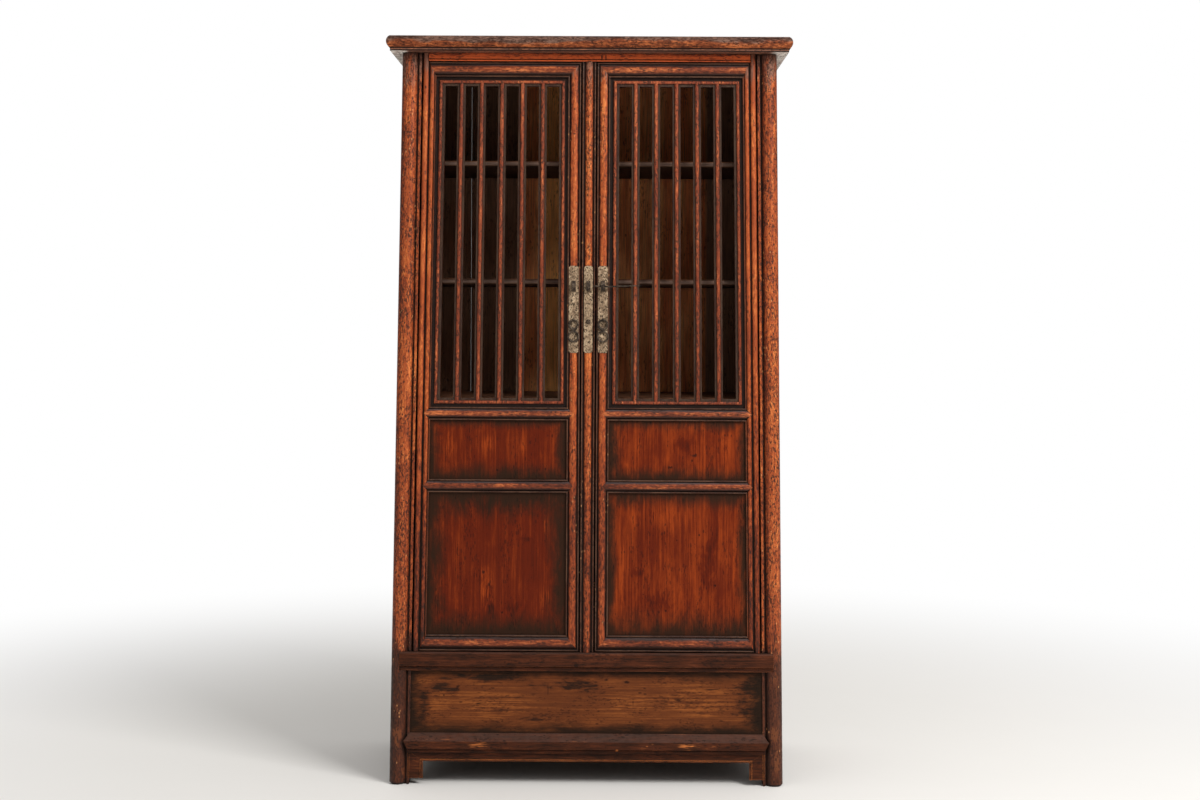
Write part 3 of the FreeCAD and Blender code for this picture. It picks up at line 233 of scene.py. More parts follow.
CHEST_PANEL = {
    "margins": (0.05, 0.08, 0.038, 0.034),
    "lift": 0.45,
    "bright": [
        (-0.25, 0.2, 0.16, 0.06), (0.28, 0.21, 0.13, 0.06), (-0.37, 0.2, 0.06, 0.04),
        (0.1, 0.2, 0.1, 0.05),
    ],
    "dark": [
        (-0.02, 0.25, 0.12, 0.02), (-0.27, 0.268, 0.1, 0.014), (-0.36, 0.256, 0.05, 0.022),
        (-0.33, 0.236, 0.022, 0.014), (-0.405, 0.2, 0.02, 0.05), (-0.13, 0.165, 0.06, 0.012),
        (0.4, 0.22, 0.03, 0.06),
    ],
    "marks": [
        (-0.322, 0.243, 0.008, 0.006), (-0.357, 0.222, 0.004, 0.003), (-0.315, 0.205, 0.008, 0.003),
        (-0.27, 0.202, 0.012, 0.003), (-0.096, 0.24, 0.0012, 0.02), (0.117, 0.205, 0.0012, 0.014),
        (0.23, 0.213, 0.012, 0.005), (0.34, 0.162, 0.01, 0.004), (0.05, 0.262, 0.008, 0.005),
        (0.1, 0.259, 0.01, 0.006), (0.318, 0.24, 0.03, 0.0015),
    ],
}


def linear(colour):
    """A colour out of 255 as the linear red, green, blue and alpha that sockets hold."""
    share = np.array(colour) / 255
    low = share / 12.92
    high = ((share + 0.055) / 1.055) ** 2.4
    return (*np.where(share <= 0.04045, low, high), 1)


class Field:
    """A node's output that takes part in Python sums, each of which adds its Math node."""

    def __init__(self, tree, socket):
        self.tree = tree
        self.socket = socket

    def _math(self, operation, *values):
        return self.tree.node("ShaderNodeMath", {"operation": operation}, values)

    def __add__(self, other):
        return self._math("ADD", self, other)

    def __sub__(self, other):
        return self._math("SUBTRACT", self, other)

    def __mul__(self, other):
        return self._math("MULTIPLY", self, other)

    def __radd__(self, other):
        return self._math("ADD", other, self)

    def __rsub__(self, other):
        return self._math("SUBTRACT", other, self)

    def __rmul__(self, other):
        return self._math("MULTIPLY", other, self)

    def higher_of(self, other):
        """The larger of two fields."""
        return self._math("MAXIMUM", self, other)

    def between(self, low, high):
        """Smooth step from 0 at low to 1 at high. A low above high turns it round."""
        if low > high:
            return 1 - self.between(high, low)
        settings = {"interpolation_type": "SMOOTHSTEP"}
        inputs = {"Value": self, "From Min": low, "From Max": high}
        return self.tree.node("ShaderNodeMapRange", settings, inputs)


class Tree:
    """Nodes of a material or of the sky, all added through one method."""

    def __init__(self, tree):
        self.tree = tree
        self.tree.nodes.clear()

    def node(self, kind, settings, inputs, output=0):
        """Add a node: its settings first, then a value or a link for each of its sockets."""
        made = self.tree.nodes.new(kind)
        for key, value in settings.items():
            setattr(made, key, value)
        pairs = inputs.items() if isinstance(inputs, dict) else enumerate(inputs)
        for key, value in pairs:
            if isinstance(value, Field):
                self.tree.links.new(value.socket, made.inputs[key])
            else:
                made.inputs[key].default_value = value
        return Field(self, made.outputs[output]) if made.outputs else None


class Finish(Tree):
    """One material, and the fields that its colour, gloss and relief are worked out from."""

    def __init__(self, name, grain="x"):
        self.material = bpy.data.materials.new(name)
        self.material.use_nodes = True
        super().__init__(self.material.node_tree)
        self.place = self.node("ShaderNodeTexCoord", {}, {}, "Object")
        self.grain = grain
        self.colour = None

    def vector(self, operation, first, second, output=0):
        """A Vector Math node."""
        return self.node("ShaderNodeVectorMath", {"operation": operation}, (first, second), output)

    def mixed(self, share, first, second):
        """Colour that goes from the first to the second as the share goes from 0 to 1.

        A tuple is a colour out of 255, which is made linear here. A list is linear already.
        """
        tones = [linear(tone) if isinstance(tone, tuple) else tone for tone in (first, second)]
        inputs = {0: share, 6: tones[0], 7: tones[1]}
        return self.node("ShaderNodeMix", {"data_type": "RGBA"}, inputs, 2)

    def cover(self, share, tone):
        """Lay a tone over the colour so far, by a share."""
        self.colour = self.mixed(share, self.colour, tone)

    def scaled(self, factors):
        """The place times a factor for each axis. Two factors are across and along the grain."""
        if len(factors) == 2:
            across, length = factors
            factors = [length if axis == self.grain else across for axis in "xyz"]
        return self.vector("MULTIPLY", self.place, factors)

    def noise(self, factors, detail=3.0, roughness=0.55, distortion=0.0):
        """Noise with as many waves per metre as the factors say."""
        inputs = {
            "Vector": self.scaled(factors),
            "Scale": 1.0,
            "Detail": detail,
            "Roughness": roughness,
            "Distortion": distortion,
        }
        return self.node("ShaderNodeTexNoise", {}, inputs)

    def sway(self, factors, detail=3.0, roughness=0.6, distortion=0.0):
        """Noise spread over -0.5 to 0.5, to raise and lower a level."""
        return self.noise(factors, detail, roughness, distortion).between(0.3, 0.7) - 0.5

    def cells(self, factors):
        """Distance to the nearest of scattered points, in cells of the given fineness."""
        inputs = {"Vector": self.scaled(factors), "Scale": 1.0, "Randomness": 1.0}
        return self.node("ShaderNodeTexVoronoi", {"feature": "F1"}, inputs)

    def part(self, axis):
        """One coordinate of the place."""
        return self.node("ShaderNodeSeparateXYZ", {}, (self.place,), "xyz".index(axis))

    def depth(self):
        """Distance in metres behind the front plane, which leans back with the posts."""
        along = self.vector("DOT_PRODUCT", self.place, (0, math.cos(LEAN), -math.sin(LEAN)), 1)
        return along - FRONT * math.cos(LEAN)

    def facing(self, direction):
        """How far the surface faces in a direction, from -1 to 1."""
        normal = self.node("ShaderNodeTexCoord", {}, {}, "Normal")
        return self.vector("DOT_PRODUCT", normal, direction, 1)

    def inward(self):
        """1 where the surface faces the cabinet's middle, 0 where it faces out."""
        normal = self.node("ShaderNodeTexCoord", {}, {}, "Normal")
        level = self.vector("MULTIPLY", normal, (1, 1, 0))
        return self.vector("DOT_PRODUCT", level, self.place, 1).between(0.02, -0.02)

    def spots(self, places, ragged=0.0, inner=0.15):
        """Soft ellipses of (x, z, half width, half height) in metres: 1 at their middles."""
        found = None
        for x, z, wide, high in places:
            here = self.scaled((1 / wide, 0, 1 / high))
            away = self.vector("DISTANCE", here, (x / wide, 0, z / high), 1)
            spot = (away + ragged).between(1.0, inner)
            found = spot if found is None else found.higher_of(spot)
        return found

    def edge(self, radius, low=0.03, high=0.3):
        """Edge wear and the rounded normal: 1 where rounding off turns the surface most."""
        rounded = self.node("ShaderNodeBevel", {"samples": 4}, {"Radius": radius})
        flat = self.node("ShaderNodeNewGeometry", {}, {}, "Normal")
        turn = 1 - self.vector("DOT_PRODUCT", flat, rounded, 1)
        return turn.between(low, high), rounded

    def openness(self, distance):
        """Share of the sky that a point sees within a distance: small in grooves."""
        inputs = {"Distance": distance}
        return self.node("ShaderNodeAmbientOcclusion", {"samples": 6}, inputs, "AO")

    def close(self, *fields, **settings):
        """Give the material its surface. The arguments are those of surface."""
        self.output(self.surface(*fields, **settings))
        return self.material

    def output(self, surface):
        """Use a shader as the surface of the material."""
        self.node("ShaderNodeOutputMaterial", {}, {"Surface": surface})

    def surface(self, roughness, height, relief, normal=None, metallic=0.0, gloss=0.16):
        """Shader with the colour so far. A height of 1 stands as far out as relief says."""
        inputs = {"Height": height, "Strength": 1.0, "Distance": relief}
        if normal is not None:
            inputs["Normal"] = normal
        bumped = self.node("ShaderNodeBump", {}, inputs)
        inputs = {
            "Base Color": self.colour,
            "Roughness": roughness,
            "Metallic": metallic,
            "Normal": bumped,
            "Specular IOR Level": gloss,
        }
        return self.node("ShaderNodeBsdfPrincipled", {}, inputs)


def flecks(finish, amount):
    """Small dark dots and dashes along the grain, thick in some patches and rare in others.

    Dots are where a short noise is over a level that a second noise moves and that falls as the
    amount rises. Dashes and a few larger marks lie round scattered points.
    """
    crowd = finish.sway((34, 9), 3.0, 0.6)
    dots = finish.noise((270, 140), 2.0, 0.6) + crowd * 0.1
    dots = dots.between(0.7 - 0.12 * amount, 0.76 - 0.12 * amount)
    small = finish.cells((200, 62)).between(0.4, 0.24)
    small = small * crowd.between(0.22 - 0.3 * amount, 0.34 - 0.3 * amount)
    large = finish.cells((100, 54)).between(0.3, 0.16)
    sparse = finish.noise((23, 13), 1.0, 0.5)
    large = large * sparse.between(0.68 - 0.1 * amount, 0.71 - 0.1 * amount)
    return dots.higher_of(small * 0.8).higher_of(large)


def worn_wood(
    name, grain, palette, wear, fleck_amount, fillet_depth=None, bead=None, fillet=FILLET,
    lamp_side_light=0.0, lower=0.0, bright_spots=(), spot_lift=0.0, facing_tone=0.0, ends=None, grime_and_shade=0.95,
    marks=(), chips=0.0,
):
    """Lacquered wood rubbed bright on its crests and edges.

    A level is summed from how high the place stands, edge wear, grain, streaks and patches, and
    goes through dark, lacquer, middle and bright. Flat fillets beside a bead are grey-brown, what
    lies deeper is painted nearly black as shade. Then grimy build-up and painted shade where the
    surface is closed in, flecks and pale chips.

    bead is a bead's depths and fillet the fillets' colour. lamp_side_light paints what faces the
    key lamp brighter and the rest darker, a painted highlight; lower paints the foot darker, a
    painted shade; and spot_lift raises bright_spots. facing_tone lays dust and a painted sky sheen
    on what faces up and painted shade on what faces down. facing_tone, grime_and_shade and chips
    are shares. ends are the heights past which soiling and painted shade start, and marks are dark
    spots.
    """
    bright, middle, lacquer, dark = palette
    finish = Finish(name, grain)
    fine = finish.sway((250, 84), 3.0, 0.7)
    streaks = finish.sway((190, 9), 4.0, 0.7, 0.2)
    patches = finish.sway((46, 16), 4.0, 0.66, 0.4)
    broad = finish.sway((7.0, 7.0, 4.0), 2.0, 0.5)
    edges, rounded = finish.edge(0.002)
    open_share = finish.openness(0.013)
    closed = open_share.between(0.58, 0.22)
    if fillet_depth is None:
        high = open_share.between(0.55, 0.95)
    else:
        depth = finish.depth()
        crest, low_bead = bead
        high = depth.between(low_bead, crest)
    level = high * wear + edges * 0.2 + fine * 0.42 + streaks * 0.3 + patches * 0.26 + broad * 0.2
    # Painted highlight: what faces the key lamp is lighter, and what faces away darker
    if lamp_side_light:
        ahead = finish.facing(TO_LAMP).between(0.35, 1.0)
        level = level + (ahead - 0.6) * lamp_side_light
    # Painted shade: darker towards the foot
    if lower:
        level = level - finish.part("z").between(1.05, 0.36) * lower
    if bright_spots:
        shift = streaks * 0.7 + fine * 0.8
        level = level + finish.spots(bright_spots, shift, 0.4) * spot_lift
    finish.colour = finish.mixed(level.between(0.0, 0.36), dark, lacquer)
    finish.cover(level.between(0.26, 0.72), middle)
    finish.cover(level.between(0.62, 1.2), bright)
    if fillet_depth is not None:
        flat = finish.facing(FORWARD).between(0.93, 0.985)
        low = flat * depth.between(fillet_depth - 0.0006, fillet_depth - 0.0003)
        tone = finish.mixed((patches + streaks + 0.4).between(0.1, 0.9) * 0.8, fillet, dark)
        # Painted shade: what lies deeper than the fillets turns nearly black
        deep = depth.between(fillet_depth + 0.0006, fillet_depth + 0.0014)
        tone = finish.mixed(deep, tone, RECESS_SHADE)
        finish.cover(low * 0.9, tone)
    # What faces up takes dust and a painted sky sheen, what faces down painted shade
    if facing_tone:
        upward = finish.facing(UP).between(0.42, 0.8) * (streaks + 0.9) * facing_tone
        finish.cover(upward, DUST_AND_SKY_SHEEN)
        under = finish.facing(DOWN).between(0.05, 0.6) * (patches * 0.5 + 0.85)
        finish.cover(under * 0.9, dark)
    # Soiling and painted shade near the ends: greyer and darker under the top, darker at the foot
    if ends:
        bottom, top = ends
        height = finish.part("z") + patches * 0.08 + streaks * 0.06
        shade = height.between(bottom + 0.05, bottom - 0.06)
        end_dirt_and_shade = finish.mixed(level.between(0.2, 1.1), RAIL_DARK, RAIL_BROWN)
        finish.cover(shade * 0.9, end_dirt_and_shade)
        shade = height.between(top - 0.02, top + 0.03)
        end_dirt_and_shade = finish.mixed(level.between(0.2, 1.0), RAIL_DARK, TOP_GREY)
        finish.cover(shade * 0.75, end_dirt_and_shade)
    # Painted shade with grimy build-up where the surface is closed in
    finish.cover(closed * grime_and_shade, GRIME_AND_SHADE)
    dashes = flecks(finish, fleck_amount)
    if marks:
        dashes = dashes.higher_of(finish.spots(marks, 0.0, 0.5))
    finish.cover(dashes * 0.82, LACQUER_DARK)
    if chips:
        chip = finish.cells((120, 66)).between(0.24, 0.13)
        chip = chip * finish.noise((26, 13), 1.0, 0.5).between(0.58, 0.61)
        finish.cover(chip * chips, CHIP)
    roughness = 0.42 + dashes * 0.2 + closed * 0.25 - fine * 0.12 - patches * 0.1
    height = fine * 0.12 + streaks * 0.1 + patches * 0.24 - dashes * 0.35
    return finish.close(roughness, height, 0.001, rounded, gloss=0.24)


def node_points(name):
    """The points of a model node, as rows of x, y and z."""
    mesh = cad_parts[name].data
    points = np.empty(len(mesh.vertices) * 3, np.float32)
    mesh.vertices.foreach_get("co", points)
    return points.reshape(-1, 3)


def panel_border(finish, node, margins, ragged, level_ragged):
    """Darkness of a panel's border: 1 at its edges, 0 past each side's own margin.

    The lowest and highest rows of the panel's points give where each leaning side starts and
    ends. The distance from each side is shifted by noise before it is turned into darkness. The
    darkness stands for soiling and for painted shade near the frame.
    """
    points = node_points(node)
    low, high = float(points[:, 2].min()), float(points[:, 2].max())
    bottom = points[points[:, 2] < low + 0.001][:, 0]
    top = points[points[:, 2] > high - 0.001][:, 0]
    across = finish.part("x")
    height = finish.part("z")
    left_lean = float((top.min() - bottom.min()) / (high - low))
    right_lean = float((top.max() - bottom.max()) / (high - low))
    left = across - (height - low) * left_lean - float(bottom.min())
    right = (height - low) * right_lean + float(bottom.max()) - across
    groove = 0.004
    border = None
    lines = (left, right, height - low, high - height)
    for line, margin, shift in zip(lines, margins, (ragged, ragged, level_ragged, level_ragged)):
        dark = (line - groove + shift * margin).between(margin, margin * 0.05)
        border = dark if border is None else border.higher_of(dark)
    return border


def panel_wood(name, node, grain, palette, stain, dashes, margins, lift, bright, dark, marks):
    """Panel with straight grain, bright in the middle and dark in a soft ragged border.

    A level is summed from grain lines, streaks, bands and patches, lifted in bright spots and
    lowered in dark ones, and goes through dark, red and bright. The border, soiling with painted
    shade near the frame, follows the distance from each side, and small marks come last.
    """
    light, middle, dark_tone, border_dirt_shade = palette
    finish = Finish(name, grain)
    fine = finish.sway((240, 5), 4.0, 0.75)
    streaks = finish.sway((110, 3), 4.0, 0.66, 0.2)
    bands = finish.sway((26, 1.6), 3.0, 0.55, 0.4)
    patches = finish.sway((22, 9), 5.0, 0.66, 0.6)
    smear = finish.sway((150, 34), 4.0, 0.7, 0.4)
    side_shift = patches * 0.45 + smear * 0.2
    end_shift = patches * 0.42 + smear * 0.12 + fine * 0.06
    border = panel_border(finish, node, margins, side_shift, end_shift)
    level = lift + bands * 0.12 + streaks * 0.16 + fine * 0.36 + patches * 0.22 + smear * 0.14
    shift = streaks * 0.7 + patches * 0.9 + smear * 0.4
    level = level + finish.spots(bright, shift, 0.0) * (fine * 0.5 + smear * 0.4 + 0.28)
    shift = streaks * 0.4 + patches * 1.0 + smear * 0.5
    level = level - finish.spots(dark, shift, 0.0) * stain
    finish.colour = finish.mixed(level.between(-0.15, 0.42), dark_tone, middle)
    finish.cover(level.between(0.4, 1.05), light)
    # Soiling and painted shade in the border near the frame
    finish.cover(border * 0.95, border_dirt_shade)
    pits = flecks(finish, dashes) * 0.7
    pits = pits.higher_of(finish.spots(marks, smear * 0.7 + patches * 0.3, 0.3))
    finish.cover(pits * 0.8, GRIME_AND_SHADE)
    roughness = 0.46 + border * 0.16 + pits * 0.2 - fine * 0.12
    height = fine * 0.14 + streaks * 0.1 + patches * 0.2 - pits * 0.3
    return finish.close(roughness, height, 0.0006, gloss=0.09)


def dark_rail(name, grain, palette, facing_tone=0.0, edge_wear=0.7, bright=(), marks=()):
    """Dark rail with rubbed edges, and dust on what faces up.

    Colour = dark to brown by streaks; edges are light where the rounded normal turns; upward
    faces take dust by a noise; worn spots show the light wood.
    """
    light, brown, dark = palette
    finish = Finish(name, grain)
    fine = finish.sway((300, 24), 3.0, 0.7)
    streaks = finish.sway((120, 5), 4.0, 0.66, 0.3)
    patches = finish.sway((34, 11), 4.0, 0.66, 0.5)
    edges, rounded = finish.edge(0.0026)
    open_share = finish.openness(0.014)
    level = 0.5 + streaks * 0.4 + patches * 0.4 + fine * 0.4
    worn = (edges * edge_wear + patches * 0.5 + streaks * 0.4 + fine * 0.3).between(0.25, 0.95)
    if bright:
        shift = streaks * 1.1 + patches * 1.2
        torn = (fine + streaks * 0.6 + 0.5).between(0.25, 0.85)
        worn = worn.higher_of(finish.spots(bright, shift, 0.0) * torn)
    finish.colour = finish.mixed(level.between(0.1, 0.9), dark, brown)
    finish.cover(worn * 0.85, light)
    upward = finish.facing(UP).between(0.3, 0.75)
    dust = finish.noise((60, 60, 60), 4.0, 0.6).between(0.25, 0.7)
    finish.cover(upward * (dust * 0.6 + 0.4) * facing_tone, DUST)
    # Painted shade with grimy build-up where the surface is closed in
    closed = open_share.between(0.55, 0.2)
    finish.cover(closed * 0.9, GRIME_AND_SHADE)
    pits = flecks(finish, 0.45)
    if marks:
        pits = pits.higher_of(finish.spots(marks, 0.0, 0.5))
    finish.cover(pits * 0.7, GRIME_AND_SHADE)
    roughness = 0.48 + upward * facing_tone * 0.14 + closed * 0.25 - fine * 0.1
    height = fine * 0.14 + streaks * 0.14 + patches * 0.3 - pits * 0.3
    return finish.close(roughness, height, 0.001, rounded, gloss=0.1)


def top_wood(name, grain):
    """Top frame: grey-brown on its upper side and upper edge, orange-brown below.

    The border between the two runs level, at a height shifted by noise along the board. A dark
    line of painted shade runs where the edge meets the fillet, and the underside of the ends past
    the posts is painted pale, as painted light thrown up from the floor.
    """
    finish = Finish(name, grain)
    fine = finish.sway((250, 80), 3.0, 0.7)
    streaks = finish.sway((170, 9), 4.0, 0.68, 0.3)
    patches = finish.sway((48, 18), 4.0, 0.66, 0.5)
    rounded = finish.edge(0.0018)[1]
    closed = finish.openness(0.012).between(0.6, 0.25)
    ragged = finish.sway((14, 4), 4.0, 0.66)
    height = finish.part("z")
    upper = (height + ragged * 0.016 + patches * 0.005 + fine * 0.003).between(*TOP_TURN)
    level = 0.5 + streaks * 0.16 + patches * 0.34 + fine * 0.6 + ragged * 0.2
    finish.colour = finish.mixed(level.between(-0.1, 0.45), RAIL_DARK, TOP_BROWN)
    finish.cover(level.between(0.36, 1.0), TOP_ORANGE)
    grey = finish.mixed(level.between(0.1, 0.95), RAIL_DARK, TOP_GREY)
    finish.cover(upper * 0.9, grey)
    across = finish.part("x")
    below = finish.facing(DOWN).between(0.5, 0.9) * height.between(*TOP_UNDERSIDE)
    # The pale underside, painted light that stands for light thrown up from the floor, lies past
    # the posts, where the square of x is over 0.2
    below = below * (across * across).between(0.2, 0.215)
    finish.cover(below * (patches + 0.8), SOFFIT_BOUNCE_LIGHT)
    fillet = height.between(*TOP_FILLET)
    finish.cover(fillet * 0.55 * (1 - below), TOP_GREY)
    # Painted shade: dark lines at the fillet, and grimy build-up with shade in closed-in places
    front = finish.facing(FORWARD).between(0.4, 0.7)
    line = height.between(*TOP_SHADE_LINE_START) * height.between(*TOP_SHADE_LINE_END)
    line = line.higher_of(height.between(*TOP_FOOT_SHADE) * front)
    finish.cover((closed * 0.9).higher_of(line * 0.93), GRIME_AND_SHADE)
    flat = finish.facing(UP).between(0.8, 0.98)
    long_grain = finish.sway((60, 1.6), 4.0, 0.62, 0.3)
    facing_tone = finish.mixed((long_grain + 0.5).between(0.1, 0.9), TOP_DUST, RAIL_BROWN)
    finish.cover(flat * 0.7, facing_tone)
    pits = flecks(finish, 1.15) * (1 - flat * 0.75)
    finish.cover(pits * 0.75, LACQUER_DARK)
    roughness = 0.5 + upper * 0.15 + closed * 0.2 - fine * 0.1
    lumps = patches * 0.3 * (1 - flat * 0.7) - pits * 0.3
    relief = fine * 0.14 + streaks * 0.16 + long_grain * 0.1 + lumps
    return finish.close(roughness, relief, 0.001, rounded, gloss=0.12)


def board_wood(name, grain, lit=None):
    """Board of the inside, sides and back: dark and dry outside, painted light on its inner faces.

    Where lit is given, as BACK_LIT says, the inside has a painted patch of light with a pale board
    in it, and beyond the patch it is painted grey as shade.
    """
    finish = Finish(name, grain)
    fine = finish.noise((300, 10), 3.0, 0.7)
    streaks = finish.noise((120, 2.6), 3.0, 0.6, 0.5)
    rings = finish.noise((28, 1.0), 3.0, 0.5, 1.2)
    patches = finish.noise((13, 2.6), 4.0, 0.6, 0.4)
    closed = finish.openness(0.03).between(0.6, 0.2)
    low = (rings * 0.6 + streaks * 0.5).between(0.36, 0.76)
    high = (patches * 0.8 + streaks * 0.3).between(0.5, 0.82)
    outside = finish.mixed(low, BACK_DARK, BACK_BROWN)
    outside = finish.mixed(high, outside, BACK_LIGHT)
    # Painted light: the inner faces are far lighter than the outer ones, for the light inside
    inside = finish.mixed(low, INSIDE_DARK, INSIDE_BROWN)
    inside = finish.mixed(high, inside, INSIDE_LIGHT)
    if lit:
        start, pale_start, pale_end, end = lit
        across = finish.part("x")
        pale = across.between(pale_start, pale_start + 0.001)
        pale = pale * across.between(pale_end + 0.01, pale_end)
        inside = finish.mixed(pale * 0.9, inside, INSIDE_PALE)
        # Painted light: a lit band across the back, painted grey as shade beyond it
        bright = across.between(start, start + 0.03) * across.between(end + 0.012, end)
        inside = finish.mixed(1 - bright * 0.9, inside, INSIDE_SHADE_GREY)
    finish.colour = finish.mixed(finish.inward(), outside, inside)
    finish.cover(fine.between(0.6, 0.34) * 0.45, BACK_DARK)
    # Painted shade with grimy build-up where the surface is closed in
    finish.cover(closed * 0.8, GRIME_AND_SHADE)
    pits = flecks(finish, 0.2)
    finish.cover(pits * 0.6, GRIME_AND_SHADE)
    roughness = 0.6 + fine * 0.12 + closed * 0.1
    height = fine * 0.25 + streaks * 0.4 + rings * 0.3 - pits * 0.4
    return finish.close(roughness, height, 0.0007)


def shelf_wood(name, grain):
    """Shelf or bearer: brown with dust, its front edge dark grey, its underside painted shade."""
    finish = Finish(name, grain)
    fine = finish.noise((420, 7), 4.0, 0.7)
    streaks = finish.noise((130, 3), 3.0, 0.6, 0.5)
    patches = finish.noise((16, 16, 16), 4.0, 0.6, 0.4)
    closed = finish.openness(0.02).between(0.6, 0.2)
    low = (streaks * 0.7 + patches * 0.5).between(0.36, 0.8)
    finish.colour = finish.mixed(low, BACK_DARK, BACK_LIGHT)
    front = finish.facing(FORWARD).between(0.7, 0.95)
    grey = finish.mixed(low, SHELF_GREY, SHELF_LIGHT)
    finish.cover(front, grey)
    finish.cover(fine.between(0.6, 0.34) * 0.4, BACK_DARK)
    # Painted shade on the underside, and grimy build-up with shade where the surface is closed in
    under = finish.facing(DOWN).between(0.5, 0.9)
    finish.cover((closed * 0.6).higher_of(under * 0.75), GRIME_AND_SHADE)
    roughness = 0.62 + fine * 0.12
    height = fine * 0.25 + streaks * 0.4 + patches * 0.3
    return finish.close(roughness, height, 0.0007)


def old_iron(name, palette, pitted):
    """Hand-made iron, rubbed light on its high spots and dark in its pits.

    Colour = middle to light by mottling, dark in pits, where a fine noise is over a level that
    falls the more pitted the iron is.
    """
    light, middle, dark = palette
    finish = Finish(name)
    mottle = finish.sway((150, 150, 120), 4.0, 0.7, 0.4)
    broad = finish.sway((38, 38, 22), 3.0, 0.6)
    fine = finish.sway((700, 700, 700), 3.0, 0.6)
    edges, rounded = finish.edge(0.0009)
    pits = finish.noise((310, 310, 230), 2.0, 0.6) + broad * 0.08
    pits = pits.between(0.66 - 0.15 * pitted, 0.71 - 0.15 * pitted)
    tone = 0.5 + mottle * 0.6 + broad * 0.4 + edges * 0.12
    finish.colour = finish.mixed(tone.between(0.3, 0.9), middle, light)
    finish.cover(tone.between(0.34, 0.05) * 0.7, dark)
    closed = finish.openness(0.005).between(0.6, 0.2)
    finish.cover((pits * 0.88).higher_of(closed * 0.85), dark)
    roughness = 0.58 + pits * 0.25 - fine * 0.1
    height = mottle * 0.3 + broad * 0.2 + fine * 0.05 - pits * 0.6
    return finish.close(roughness, height, 0.0006, rounded, 0.25)


def shades(*settings):
    """Colour settings as colours out of 255."""
    return [tuple(255 * part for part in setting) for setting in settings]


def dress(names, material):
    """Give a finish to model nodes."""
    for name in names:
        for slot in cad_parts[name].material_slots:
            slot.material = material


def both_doors(*names):
    """The names of the same node in the left and the right door."""
    return [side + "_door_" + name for name in names for side in ("left", "right")]


def circle(count):
    """Angles that go once round in equal steps."""
    return np.arange(count) * 2 * math.pi / count


def tube(path, radii, around=14, closed=False):
    """Round tube along a path of points, as an array of points and one of four-sided faces.

    Each ring is centre + radius * (cos a * side + sin a * up), where side and up are square to
    the path's direction. An open tube ends in rings drawn together to a point.
    """
    ahead = np.roll(path, -1, 0) - np.roll(path, 1, 0)
    if not closed:
        ahead[0] = path[1] - path[0]
        ahead[-1] = path[-1] - path[-2]
    ahead /= np.linalg.norm(ahead, axis=1)[:, None]
    side = np.cross(ahead, (0.11, 0.99, 0.07))
    side /= np.linalg.norm(side, axis=1)[:, None]
    up = np.cross(side, ahead)
    turn = circle(around)
    ring = side[:, None] * np.cos(turn)[:, None] + up[:, None] * np.sin(turn)[:, None]
    points = (path[:, None] + ring * np.asarray(radii)[:, None, None]).reshape(-1, 3)
    rows = len(path) if closed else len(path) - 1
    row, column = np.meshgrid(np.arange(rows), np.arange(around), indexing="ij")
    after = (row + 1) % len(path)
    beside = (column + 1) % around
    corners = [
        row * around + column,
        row * around + beside,
        after * around + beside,
        after * around + column,
    ]
    return points, np.stack(corners, -1).reshape(-1, 4)


def joined(surfaces):
    """Several point and face arrays as one."""
    points = np.concatenate([surface[0] for surface in surfaces])
    starts = np.cumsum([0] + [len(surface[0]) for surface in surfaces[:-1]])
    faces = np.concatenate([surface[1] + start for surface, start in zip(surfaces, starts)])
    return points, faces


def add_object(name, data):
    """Make an object and put it in the scene."""
    made = bpy.data.objects.new(name, data)
    bpy.context.scene.collection.objects.link(made)
    return made


def mesh_piece(name, surface, material, body, node):
    """Make a piece from a surface. It takes a model node's place and rides on its body."""
    points, faces = surface
    mesh = bpy.data.meshes.new(name)
    mesh.from_pydata(points.tolist(), [], faces.tolist())
    mesh.validate()
    mesh.polygons.foreach_set("use_smooth", np.ones(len(mesh.polygons), bool))
    piece = add_object(name, mesh)
    mesh.materials.append(material)
    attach(piece, body)
    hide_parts(node)


def node_box(name):
    """Lowest and highest corner of a model node."""
    points = node_points(name).astype(float)
    return points.min(0), points.max(0)


def loop(middle, wide, high, wire, swell, wobble, count=56):
    """Closed ring of forged wire, thicker below and uneven.

    Centre line = middle + (wide cos a, 0, high sin a); radius = wire * (1 + swell * (1 - sin a) / 2
    + small waves).
    """
    turn = circle(count)
    path = np.stack([wide * np.cos(turn), 0 * turn, high * np.sin(turn)], 1) + middle
    waves = 0.06 * np.sin(3 * turn + wobble) + 0.04 * np.sin(7 * turn + 2 * wobble)
    radii = wire * (1 + swell * (1 - np.sin(turn)) / 2 + waves)
    return tube(path, radii, 14, True)


def figure_eight(name, upper_wire, lower_wire, wobble):
    """Pull made of two rings bound at the waist, inside the box of its model node.

    The upper ring is round, the lower one a little wider than high; three turns of thinner wire
    bind them.
    """
    low, high = node_box(name)
    middle = (low + high) / 2
    upper_middle = np.array((middle[0], middle[1], high[2] - UPPER_RING - upper_wire))
    lower_middle = np.array((middle[0], middle[1], low[2] + LOWER_RING[1] + lower_wire))
    waist = (upper_middle[2] - UPPER_RING + lower_middle[2] + LOWER_RING[1]) / 2
    surfaces = [
        loop(upper_middle, UPPER_RING, UPPER_RING, upper_wire, 0.35, wobble),
        loop(lower_middle, *LOWER_RING, lower_wire, 0.1, wobble + 1.3),
    ]
    pitch, slope, half_width, half_depth = 0.0017, 0.0004, 0.0034, 0.0022
    turn = circle(30)
    for place in (-1, 0, 1):
        lift = waist + place * pitch + slope * np.sin(turn + wobble)
        across = middle[0] + half_width * np.cos(turn)
        path = np.stack([across, middle[1] + half_depth * np.sin(turn), lift], 1)
        surfaces.append(tube(path, np.full(len(turn), BINDING_WIRE), 10, True))
    return joined(surfaces)


